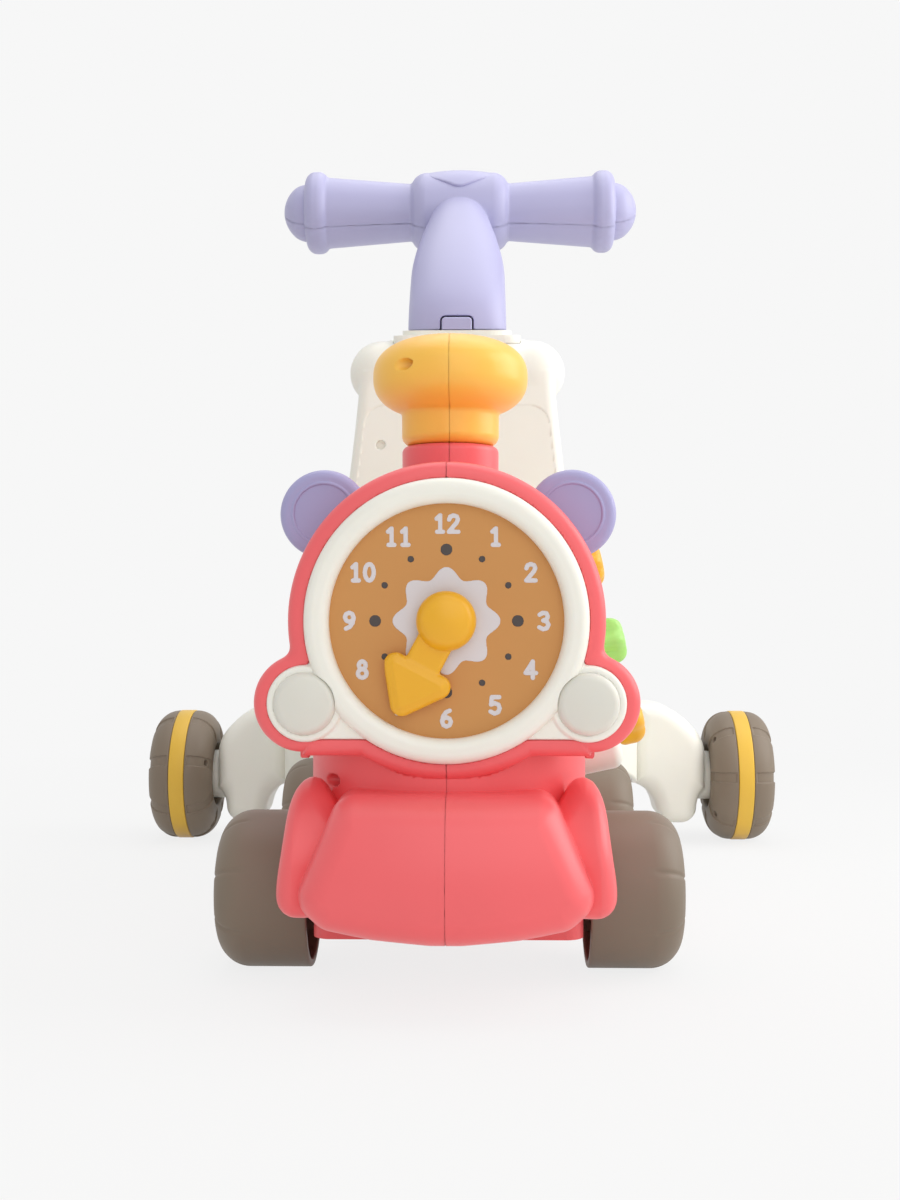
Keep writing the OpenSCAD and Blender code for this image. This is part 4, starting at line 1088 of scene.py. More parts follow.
# Strokes of the plain numbers on the dial, in shares of their height
DIGITS: dict[str, list[list[Point]]] = {
    "0": [[(0.27 * math.sin(a), 0.5 * math.cos(a)) for a in np.linspace(0, 2 * math.pi, 17)]],
    "1": [[(-0.17, 0.3), (0.05, 0.5), (0.05, -0.5)], [(-0.14, -0.5), (0.22, -0.5)]],
    "2": [
        [(-0.27, 0.24), (-0.2, 0.42), (0, 0.5), (0.2, 0.43), (0.27, 0.25)],
        [(0.27, 0.25), (0.19, 0.06), (-0.28, -0.5), (0.29, -0.5)],
    ],
    "3": [
        [(-0.26, 0.38), (-0.06, 0.5), (0.16, 0.46), (0.24, 0.27), (0.16, 0.1), (-0.04, 0.03)],
        [(-0.04, 0.03), (0.18, -0.04), (0.28, -0.23), (0.18, -0.44), (-0.06, -0.5), (-0.28, -0.38)],
    ],
    "4": [[(0.12, -0.5), (0.12, 0.5), (-0.32, -0.2), (0.32, -0.2)]],
    "5": [
        [(0.25, 0.5), (-0.2, 0.5), (-0.25, 0.05), (-0.02, 0.13), (0.2, 0.04), (0.28, -0.18), (0.18, -0.42)],
        [(0.18, -0.42), (-0.04, -0.5), (-0.28, -0.38)],
    ],
    "6": [
        [(0.2, 0.47), (-0.04, 0.36), (-0.2, 0.12), (-0.27, -0.18), (-0.18, -0.42), (0, -0.5), (0.19, -0.42)],
        [(0.19, -0.42), (0.27, -0.22), (0.18, -0.02), (0, 0.06), (-0.18, -0.01), (-0.27, -0.18)],
    ],
    "7": [[(-0.28, 0.5), (0.28, 0.5), (-0.06, -0.5)]],
    "8": [
        [(0.21 * math.sin(a), 0.26 + 0.24 * math.cos(a)) for a in np.linspace(0, 2 * math.pi, 13)],
        [(0.27 * math.sin(a), -0.24 + 0.26 * math.cos(a)) for a in np.linspace(0, 2 * math.pi, 13)],
    ],
}
DIGITS["9"] = [[(-u, -v) for u, v in line] for line in DIGITS["6"]]


@dataclass
class ClockFace:
    """White face plate with its dial, hand and lamp buttons."""

    boiler: Boiler
    open_r: float = 49.4
    plate_front: float = -71.7
    plate_rear: float = -64.2
    crown_front: float = -75.0
    lamp_r: float = 13.2
    lamp_front: float = -73.4
    dial_front: float = -68.7
    hand_rear: float = -69.0
    hand_front: float = -75.0
    knob_r: float = 12.6
    knob_front: float = -80.5
    knob_fall: float = 0.022
    lamp_fall: float = 0.008
    stem_half: float = 7.75
    stem_l: float = 28.0
    reach: float = 45.4
    head_half: float = 15.2
    head_l: float = 24.5
    head_r: float = 5.0
    hand_deg: float = 208.0
    numeral_r: float = 40.9
    numeral_h: float = 6.9
    digit_step: float = 0.86
    stroke: float = 1.95
    rosette_r: float = 20.5
    petals: int = 8
    petal_h: float = 2.2
    dot_ring: float = 30.0
    dot_r: Point = (2.5, 1.4)
    ink: float = 0.15

    def plate(self, p: Spot) -> np.ndarray:
        """Measures the distance to the face plate.

        Args:
            p: Places.

        Returns:
            Signed distance.
        """
        x, y, z = p
        b = y - AXLE_Y
        r = np.hypot(x, z - self.boiler.axis_z)
        lamp = np.hypot(np.abs(x) - self.boiler.lamp_x, z - self.boiler.lobe_z)
        base = drawn(self.boiler.plate(x, z), between(b, self.plate_front + 1.2, self.plate_rear), 1.0)
        middle = (self.boiler.ring_r + self.open_r) / 2
        half = (self.boiler.ring_r - self.open_r) / 2
        ring = drawn(np.abs(r - middle) - half, between(b, self.crown_front, self.plate_rear), 4.4)
        rim = drawn(lamp - self.boiler.lamp_ring_r, between(b, self.plate_front - 0.6, self.plate_rear), 1.6)
        form = np.minimum(soft_min(base, rim, 1.0), ring)
        form = soft_max(form, self.lamp_r - 0.25 - lamp, 0.1)
        return np.maximum(form, self.open_r - r)

    def hand(self, p: Spot) -> np.ndarray:
        """Measures the distance to the clock hand.

        Args:
            p: Places.

        Returns:
            Signed distance.
        """
        x, y, z = p
        b = y - AXLE_Y
        turn = math.radians(self.hand_deg)
        up = z - self.boiler.axis_z
        along = x * math.sin(turn) + up * math.cos(turn)
        across = x * math.cos(turn) - up * math.sin(turn)
        stem = rectangle(across, along - self.stem_l / 2, self.stem_half, self.stem_l / 2, 1.0)
        root, r = self.reach - self.head_l, self.head_r
        tips = [(0, self.reach - r - 1), (self.head_half - r, root + r), (r - self.head_half, root + r)]
        head = outline(across, along, tips, r)
        bar = drawn(stem, between(b, self.hand_front + 0.8, self.hand_rear), 2.0)
        tip = drawn(head, between(b, self.hand_front, self.hand_rear), 2.6)
        ridge = drawn(head + 3.2, between(b, self.hand_front - 0.5, self.hand_rear), 1.2)
        dome = self.knob_front + self.knob_fall * (x**2 + up**2)
        knob = drawn(np.hypot(x, up) - self.knob_r, np.maximum(dome - b, b - self.hand_rear), 4.0)
        arrow = soft_min(soft_min(bar, tip, 1.0), ridge, 1.4)
        return np.minimum(np.maximum(arrow, b - self.hand_rear), knob)

    def lamp(self, side: Side, p: Spot) -> np.ndarray:
        """Measures the distance to one lamp button.

        Args:
            side: Side of the button.
            p: Places.

        Returns:
            Signed distance.
        """
        x, y, z = p
        b = y - AXLE_Y
        off = np.hypot(x - side.value * self.boiler.lamp_x, z - self.boiler.lobe_z)
        dome = self.lamp_front - 3.0 + self.lamp_fall * off**2
        return drawn(off - self.lamp_r, np.maximum(dome - b, b - self.plate_rear), 3.0)

    def printed(self, mark: Mark, p: Spot) -> np.ndarray:
        """Measures the distance to a print, which stands a little out of the dial.

        Args:
            mark: Distance to the mark, from places right of and above the dial's centre.
            p: Places.

        Returns:
            Signed distance.
        """
        x, y, z = p
        b = y - AXLE_Y - self.dial_front
        return np.maximum(mark(x, z - self.boiler.axis_z), between(b, -self.ink, 1.0))

    def rosette(self, u: np.ndarray, v: np.ndarray) -> np.ndarray:
        """Measures the distance to the rosette, from places right of and above the centre."""
        return np.hypot(u, v) - self.rosette_r - self.petal_h * np.cos(self.petals * np.arctan2(u, v))

    def dots(self, u: np.ndarray, v: np.ndarray) -> np.ndarray:
        """Measures the distance to the hour dots.

        Args:
            u: Place right of the centre.
            v: Place above the centre.

        Returns:
            Signed distance.
        """
        near: np.ndarray | float = np.inf
        for hour in range(12):
            turn, r = math.radians(30 * hour), self.dot_r[0 if hour % 3 == 0 else 1]
            off = np.hypot(u - self.dot_ring * math.sin(turn), v - self.dot_ring * math.cos(turn))
            near = np.minimum(near, off - r)
        return near

    def numerals(self, u: np.ndarray, v: np.ndarray) -> np.ndarray:
        """Measures the distance to the twelve hour numbers.

        Args:
            u: Place right of the centre.
            v: Place above the centre.

        Returns:
            Signed distance.
        """
        near: np.ndarray | float = np.inf
        for hour in range(1, 13):
            turn, word = math.radians(30 * hour), str(hour)
            for i, digit in enumerate(word):
                left = (i - (len(word) - 1) / 2) * self.digit_step
                for line in DIGITS[digit]:
                    for (ax, ay), (bx, by) in zip(line, line[1:]):
                        cx = self.numeral_r * math.sin(turn) + self.numeral_h * (ax + left)
                        cy = self.numeral_r * math.cos(turn) + self.numeral_h * ay
                        ex, ey = self.numeral_h * (bx - ax), self.numeral_h * (by - ay)
                        t = np.clip(((u - cx) * ex + (v - cy) * ey) / (ex * ex + ey * ey), 0, 1)
                        near = np.minimum(near, np.hypot(u - cx - ex * t, v - cy - ey * t))
        return near - self.stroke / 2

    def build(self) -> None:
        """Makes the plate, the hand, the lamps and the dial's print."""
        z = self.boiler.axis_z
        low, high = (-77, AXLE_Y + self.crown_front, z - 61), (77, AXLE_Y + self.plate_rear, z + 61)
        place(moulded("face_plate_shell", self.plate, low, high, 0.6), IVORY, Body.TRAIN, ["face_plate"])
        low, high = (-24, AXLE_Y + self.knob_front, z - 46), (14, AXLE_Y + self.hand_rear, z + 14)
        hand = moulded("clock_hand_shell", self.hand, low, high, 0.4)
        place(hand, YELLOW, Body.CLOCK_HAND, ["clock_hand"])
        for side in Side:
            name, x, up = f"lamp_{side.word}", side.value * self.boiler.lamp_x, self.boiler.lobe_z
            low, high = (x - 14, AXLE_Y - 77, up - 14), (x + 14, AXLE_Y - 64, up + 14)
            place(moulded(f"{name}_cap", partial(self.lamp, side), low, high, 0.45), MILK, Body(name), [name])
        y = AXLE_Y + self.dial_front
        for word, mark, r, finish in (
            ("rosette", self.rosette, 24, INK_PALE),
            ("dots", self.dots, 34, INK_DARK),
            ("numbers", self.numerals, 47, INK_PALE),
        ):
            low, high = (-r, y - self.ink, z - r), (r, y + 1.0, z + r)
            place(moulded(f"dial_{word}", partial(self.printed, mark), low, high, 0.34), finish, Body.TRAIN)

    def dress(self) -> None:
        """Finishes the dial and the clip behind it."""
        dress(["dial"], TAN)
        dress(["hand_clip"], STEEL)


@dataclass
class Ears:
    """Two round ears with a raised rim, on the boiler behind the bezel."""

    x: float = 54.3
    z: float = 208.2
    radius: float = 19.4
    front: float = -44.8
    depth: float = 14.0
    rim: float = 5.9
    dish: float = 0.35
    bead_r: float = 0.7
    barrel_z: float = 161.7
    barrel_r: float = 64.2

    def form(self, p: Spot) -> np.ndarray:
        """Measures the distance to the right ear.

        Args:
            p: Places.

        Returns:
            Signed distance.
        """
        x, y, z = p
        b = y - AXLE_Y
        off = np.hypot(x - self.x, z - self.z)
        shell = drawn(off - self.radius, between(b, self.front, self.front + self.depth), 3.6)
        inner = self.radius - self.rim
        dish = np.maximum(off - inner, between(b, self.front - 8, self.front + self.dish))
        bead = np.hypot(off - inner, b - self.front - 0.3) - self.bead_r
        form = soft_min(soft_max(shell, -dish, 0.3), bead, 0.25)
        return np.maximum(form, self.barrel_r - np.hypot(x, z - self.barrel_z))

    def build(self) -> None:
        """Makes both ears."""
        low = (self.x - 20, AXLE_Y + self.front, self.z - 20)
        high = (self.x + 20, AXLE_Y + self.front + self.depth, self.z + 20)
        paired("ear", self.form, low, high, 0.5, VIOLET)


@dataclass
class Chimney:
    """Mushroom-shaped chimney, which is also the rider's grip, in two halves."""

    back: float = 10.0
    bulb_r: float = 36.6
    bulb_z: float = 275.5
    up: float = 19.8
    down: float = 19.5
    neck_r: float = 23.0
    collar_z: float = 243.2
    power: float = 2.45
    spigot_r: float = 17.8
    spigot_low: float = 229.0
    hole: tuple[float, float, float] = (-19.6, 277.6, 2.6)
    hole_ends: Point = (-50.0, -9.0)

    def form(self, p: Spot) -> np.ndarray:
        """Measures the distance to the whole chimney.

        Args:
            p: Places.

        Returns:
            Signed distance.
        """
        x, y, z = p
        r = np.hypot(x, y - AXLE_Y - self.back)
        rise = z - self.bulb_z
        tall = np.where(rise > 0, self.up, self.down)
        bulb = (r / self.bulb_r) ** self.power + (np.abs(rise) / tall) ** self.power
        bulb = bulb ** (1 / self.power) - 1
        neck = drawn(r - self.neck_r, between(z, self.collar_z, self.bulb_z), 5.0)
        spigot = np.maximum(r - self.spigot_r, between(z, self.spigot_low, self.bulb_z))
        return np.minimum(soft_min(bulb * self.up, neck, 1.6), spigot)

    def build(self) -> None:
        """Makes both halves."""
        low, high = (0, AXLE_Y - 28, 228), (37, AXLE_Y + 48, 297)
        parted("chimney", self.form, [(bore(*self.hole, self.hole_ends), 0.6)], low, high, 0.65, ORANGE)


@dataclass
class SideSpinners:
    """Panel with three lobed spinners on the viewer's right."""

    boiler: Boiler
    radius: float = 12.3
    bore: float = 4.15
    cup: Point = (6.0, 4.0)
    post_r: float = 4.0
    dome: float = 0.018
    screw_r: float = 4.6
    screw_h: float = 2.0
    cross_half: Point = (2.6, 0.55)
    cross_floor: float = 0.8
    panel_half: float = 27.0
    panel_ends: Point = (-57.0, 59.0)
    panel_depth: float = 30.0
    track_half: Point = (18.0, 53.0)
    lift: float = 0.4
    kinds: dict[Body, tuple[Finish, int, float, float]] = field(
        default_factory=lambda: {
            Body.SPINNER_TOP: (YELLOW, 8, 0.9, 12.5),
            Body.SPINNER_MIDDLE: (GREEN, 6, 1.2, 15.0),
            Body.SPINNER_BOTTOM: (YELLOW, 4, 1.5, 15.6),
        }
    )

    def pivot(self, body: Body) -> tuple[np.ndarray, np.ndarray]:
        """Reads a spinner's joint: its place in millimetres and its axis."""
        joint = next(j for j in frame["record"]["behaviour"]["joints"] if j["child"] == body.value)
        return np.array(joint["pos_m"]) / MM, np.array(joint["axis"])

    def local(self, body: Body, p: Spot) -> tuple[np.ndarray, ...]:
        """Turns places into a spinner's own frame.

        Args:
            body: Body of the spinner.
            p: Places.

        Returns:
            Place towards the back, place down the panel and height above the panel.
        """
        x, y, z = p
        at, axis = self.pivot(body)
        dx, dz = x - at[0], z - at[2]
        return y - at[1] + 0 * dx, dx * axis[2] - dz * axis[0], dx * axis[0] + dz * axis[2]

    def spinner(self, body: Body, p: Spot) -> np.ndarray:
        """Measures the distance to one spinner.

        Args:
            body: Body that it is.
            p: Places.

        Returns:
            Signed distance.
        """
        lobes, swell, height = self.kinds[body][1:]
        u, v, up = self.local(body, p)
        r = np.hypot(u, v)
        flat = r - self.radius + swell * (1 - np.cos(lobes * np.arctan2(v, u)))
        solid = drawn(flat, np.maximum(self.lift - up, up - height + self.dome * r**2), 4.0)
        cup_r, cup_l = self.cup
        solid = soft_max(solid, -np.maximum(r - cup_r, height - cup_l - up), 1.2)
        return np.maximum(solid, self.bore - r)

    def panel(self, p: Spot) -> np.ndarray:
        """Measures the distance to the panel with its posts.

        Args:
            p: Places.

        Returns:
            Signed distance.
        """
        x, _, z = p
        u, v, up = self.local(Body.SPINNER_MIDDLE, p)
        start, end = self.panel_ends
        flat = rectangle(u, v - (start + end) / 2, self.panel_half, (end - start) / 2, 11)
        solid = drawn(flat, between(up, -self.panel_depth, 0), 5.0)
        track = rectangle(u, v, *self.track_half, self.track_half[0])
        solid = soft_max(solid, -np.maximum(track, -0.6 - up), 0.5)
        barrel = self.boiler.barrel_r - 3 - np.hypot(x, z - self.boiler.axis_z)
        neck = np.minimum(self.boiler.neck_half - 3 - x, self.boiler.axis_z - z)
        solid = np.maximum(solid, np.maximum(barrel, neck))
        for body in self.kinds:
            u, v, up = self.local(body, p)
            post = drawn(np.hypot(u, v) - self.post_r, between(up, -4, self.post(body)), 0.3)
            solid = np.minimum(solid, post)
        return solid

    def post(self, body: Body) -> float:
        """Gives the height of a spinner's post, which ends just above the floor of the cup."""
        return self.kinds[body][3] - self.cup[1] + self.lift

    def screws(self, p: Spot) -> np.ndarray:
        """Measures the distance to the heads of the three screws.

        Args:
            p: Places.

        Returns:
            Signed distance.
        """
        near: np.ndarray | float = np.inf
        for body in self.kinds:
            u, v, up = self.local(body, p)
            foot = self.post(body)
            head = drawn(np.hypot(u, v) - self.screw_r, between(up, foot, foot + self.screw_h), 0.8)
            long, thin = self.cross_half
            cross = np.minimum(rectangle(u, v, long, thin, 0.1), rectangle(u, v, thin, long, 0.1))
            near = np.minimum(near, soft_max(head, -np.maximum(cross, foot + self.cross_floor - up), 0.2))
        return near

    def build(self) -> None:
        """Makes the panel, the spinners and their screws."""
        middle, _ = self.pivot(Body.SPINNER_MIDDLE)
        low, high = middle - (35, 28, 63), middle + (26, 28, 63)
        place(moulded("side_panel_shell", self.panel, low, high, 0.8), IVORY, Body.TRAIN, ["side_panel"])
        for body, (finish, *_) in self.kinds.items():
            at, _ = self.pivot(body)
            form = partial(self.spinner, body)
            made = moulded(f"{body.value}_cap", form, at - (6, 14, 14), at + (19, 14, 18), 0.45)
            place(made, finish, body, [body.value])
        made = moulded("spinner_screw_heads", self.screws, middle - (5, 7, 45), middle + (30, 7, 50), 0.3)
        place(made, STEEL, Body.TRAIN, ["spinner_screws"])


@dataclass
class Seat:
    """Body under the rider, in halves, and the seat on it."""

    front: float = 62.2
    rear: float = 250.0
    front_half: float = 59.0
    rear_half: float = 74.0
    low: float = 78.0
    top: float = 178.0
    seat_front: float = 62.4
    seat_l: float = 118.0
    seat_t: float = 14.0
    rib_step: float = 12.0
    arch: tuple[float, float, float] = (222.0, 36.0, 46.0)
    panel: Point = (122.0, 134.0)
    panel_half: Point = (46.0, 26.0)
    panel_r: float = 12.0
    panel_depth: float = 1.2
    holes: tuple[Point, ...] = ((90, 120), (200, 120))
    hole_r: float = 3.2
    hole_ends: Point = (-90.0, -20.0)

    def half_width(self, b: np.ndarray) -> np.ndarray:
        """Gives the body's half width at a place behind the front axle."""
        wider = (self.rear_half - self.front_half) * (b - self.front) / (self.rear - self.front)
        return self.front_half + wider

    def body(self, p: Spot) -> np.ndarray:
        """Measures the distance to the body.

        Args:
            p: Places.

        Returns:
            Signed distance.
        """
        x, y, z = p
        b = y - AXLE_Y
        plan = drawn(np.abs(x) - self.half_width(b), between(b, self.front, self.rear), 6.0)
        solid = drawn(plan, between(z, self.low, self.top), 3.0)
        back, up, r = self.arch
        solid = soft_max(solid, -(np.hypot(b - back, z - up) - r), 2.0)
        panel = rectangle(b - self.panel[0], z - self.panel[1], *self.panel_half, self.panel_r)
        panel = np.maximum(panel, self.half_width(b) - self.panel_depth - np.abs(x))
        return soft_max(solid, -panel, 1.0)

    def cushion(self, p: Spot) -> np.ndarray:
        """Measures the distance to the seat.

        Args:
            p: Places.

        Returns:
            Signed distance.
        """
        x, y, z = p
        b = y - AXLE_Y - self.seat_front - self.seat_l / 2
        plan = rectangle(x, b, self.front_half, self.seat_l / 2, 14)
        ribs = 0.5 * np.clip(np.cos(b * 2 * math.pi / self.rib_step) - 0.6, 0, 1)
        ribs = ribs * np.clip(1 - np.abs(x) / 44, 0, 1)
        return drawn(plan, between(z, self.top, self.top + self.seat_t), 4.0) + ribs

    def build(self) -> None:
        """Makes the body halves and the seat."""
        low, high = (0, AXLE_Y + self.front, self.low), (75, AXLE_Y + self.rear, self.top)
        holes = [(bore(*hole, self.hole_r, self.hole_ends), 0.6) for hole in self.holes]
        parted("body", self.body, holes, low, high, 1.1, IVORY)
        low = (-60, AXLE_Y + self.seat_front, self.top)
        high = (60, AXLE_Y + self.seat_front + self.seat_l, self.top + self.seat_t)
        place(moulded("seat_shell", self.cushion, low, high, 0.9), IVORY, Body.TRAIN, ["seat"])

    def dress(self) -> None:
        """Finishes the screws."""
        dress(["body_screws"], STEEL)


@dataclass
class Backrest:
    """Backrest with its roll, in halves, and the sleeve that holds the handle."""

    front: float = 185.0
    rear: float = 250.0
    top_rear: float = 221.0
    low: float = 178.2
    roll_z: float = 308.0
    roll_r: float = 19.5
    roll_back: float = 203.0
    roll_half: float = 65.0
    foot_half: float = 74.0
    top_half: float = 58.0
    strip_z: float = 238.0
    strip_half: float = 48.0
    block_half: Point = (37.6, 22.6)
    block_r: float = 10.0
    pedestal_low: float = -24.0
    pedestal_top: float = -8.1
    hole: tuple[float, float, float] = (45.5, 263.0, 2.7)
    hole_depth: float = 3.0

    def form(self, p: Spot) -> np.ndarray:
        """Measures the distance to the whole backrest.

        Args:
            p: Places.

        Returns:
            Signed distance.
        """
        x, y, z = p
        b = y - AXLE_Y
        t = np.clip((z - self.low) / (self.roll_z - self.low), 0, 1)
        half = self.foot_half + (self.top_half - self.foot_half) * (1 - (1 - t) ** 1.25)
        rear = self.rear + (self.top_rear - self.rear) * t
        plan = drawn(np.abs(x) - half, np.maximum(self.front - b, b - rear), 7.0)
        slab = drawn(plan, between(z, self.low, self.roll_z), 2.0)
        strip = rectangle(x, z - self.strip_z, half - 6.0, self.strip_half, 10)
        slab = soft_max(slab, -np.maximum(strip, b - self.front - 0.3), 1.2)
        along = np.maximum(np.abs(x) - (self.roll_half - self.roll_r), 0)
        roll = np.sqrt(along**2 + (b - self.roll_back) ** 2 + (z - self.roll_z) ** 2) - self.roll_r
        off, up = in_sleeve(p)
        block = rectangle(x, off, *self.block_half, self.block_r)
        pedestal = np.maximum(block, between(up, self.pedestal_low, self.pedestal_top))
        seat = np.maximum(block - 0.5, self.pedestal_top - up)
        return np.maximum(soft_min(soft_min(slab, roll, 1.5), pedestal, 6.0), -seat)

    def screw_hole(self, p: Spot) -> np.ndarray:
        """Measures the distance to the screw hole in the front.

        Args:
            p: Places.

        Returns:
            Signed distance.
        """
        x, y, z = p
        across, up, r = self.hole
        return np.maximum(np.hypot(x + across, z - up) - r, y - AXLE_Y - self.front - self.hole_depth)

    def build(self) -> None:
        """Makes both halves."""
        low, high = (0, AXLE_Y + 183, self.low), (75, AXLE_Y + self.rear, 329)
        parted("backrest", self.form, [(self.screw_hole, 0.6)], low, high, 0.9, IVORY)

    def dress(self) -> None:
        """Finishes the sleeve that holds the handle, and its collar."""
        dress(["handle_socket"], IVORY, 0.8)


@dataclass
class RearDeck:
    """Deck behind the seat and the legs that carry the rear wheels."""

    axle_back: float = 363.0
    axle_z: float = 45.6
    half_w: float = 123.0
    depth: float = 52.0
    top: float = 98.0
    under: float = 43.0
    start: float = 250.2
    start_half: float = 74.0
    start_low: float = 78.0
    start_top: float = 150.0
    wall: float = 4.0
    roof: float = 5.0
    leg_out: float = 166.6
    upright_in: float = 133.5
    foot: float = 14.0
    corner: float = 36.0
    edge: float = 11.0
    boss_r: float = 17.0
    boss_end: float = 181.8

    def deck(self, p: Spot) -> np.ndarray:
        """Measures the distance to the deck.

        Args:
            p: Places.

        Returns:
            Signed distance.
        """
        x, y, z = p
        b = y - AXLE_Y
        rear = self.axle_back + self.depth / 2
        t = np.clip((b - self.start) / (self.axle_back - self.depth / 2 - self.start), 0, 1)
        ease = t * t * (3 - 2 * t)
        half = self.start_half + (self.half_w - self.start_half) * ease
        low = self.start_low + (self.under - self.start_low) * t
        high = self.start_top + (self.top - self.start_top) * ease
        solid = drawn(between(b, self.start, rear), np.maximum(low - z, z - high), 10.0)
        solid = soft_max(solid, np.abs(x) - half, 0.6 + 5 * (1 - ease))
        wall = self.wall
        hollow = np.maximum(np.abs(x) - half + wall, between(b, self.start + wall, rear - wall))
        return np.maximum(solid, -np.maximum(hollow, z - high + self.roof))

    def leg(self, p: Spot) -> np.ndarray:
        """Measures the distance to the right leg.

        Args:
            p: Places.

        Returns:
            Signed distance.
        """
        x, y, z = p
        b = y - AXLE_Y - self.axle_back
        r = self.corner
        beam = drawn(self.half_w + 0.3 - x, np.maximum(self.under - z, z - self.top), 0.4)
        beam = np.maximum(beam, x - self.leg_out)
        shoulder = np.hypot(np.maximum(x - self.leg_out + r, 0), np.maximum(z - self.top + r, 0)) - r
        beam = soft_max(beam, shoulder, 1.0)
        top, toe = self.top - r, self.foot + self.edge
        near, far = self.upright_in, self.leg_out
        sides = [(far - self.edge, top), (far - 12, toe), (near + 15, toe), (near + 7, top)]
        upright = outline(x, z, sides, self.edge)
        front = soft_min(beam, upright, 20.0)
        shell = drawn(front, np.abs(b) - self.depth / 2, 10.0)
        boss = np.hypot(b, z - self.axle_z) - self.boss_r
        boss = drawn(boss, between(x, self.leg_out - 8, self.boss_end), 4.0)
        return soft_min(shell, boss, 2.0)

    def build(self) -> None:
        """Makes the deck and the legs."""
        rear = AXLE_Y + self.axle_back + self.depth / 2
        low, high = (-self.half_w, AXLE_Y + self.start, self.under), (self.half_w, rear, self.start_top)
        place(moulded("rear_deck_shell", self.deck, low, high, 1.3), IVORY, Body.TRAIN, ["rear_deck"])
        low, high = (self.half_w, rear - self.depth, self.foot), (self.boss_end, rear, self.top)
        paired("leg", self.leg, low, high, 0.8, IVORY)


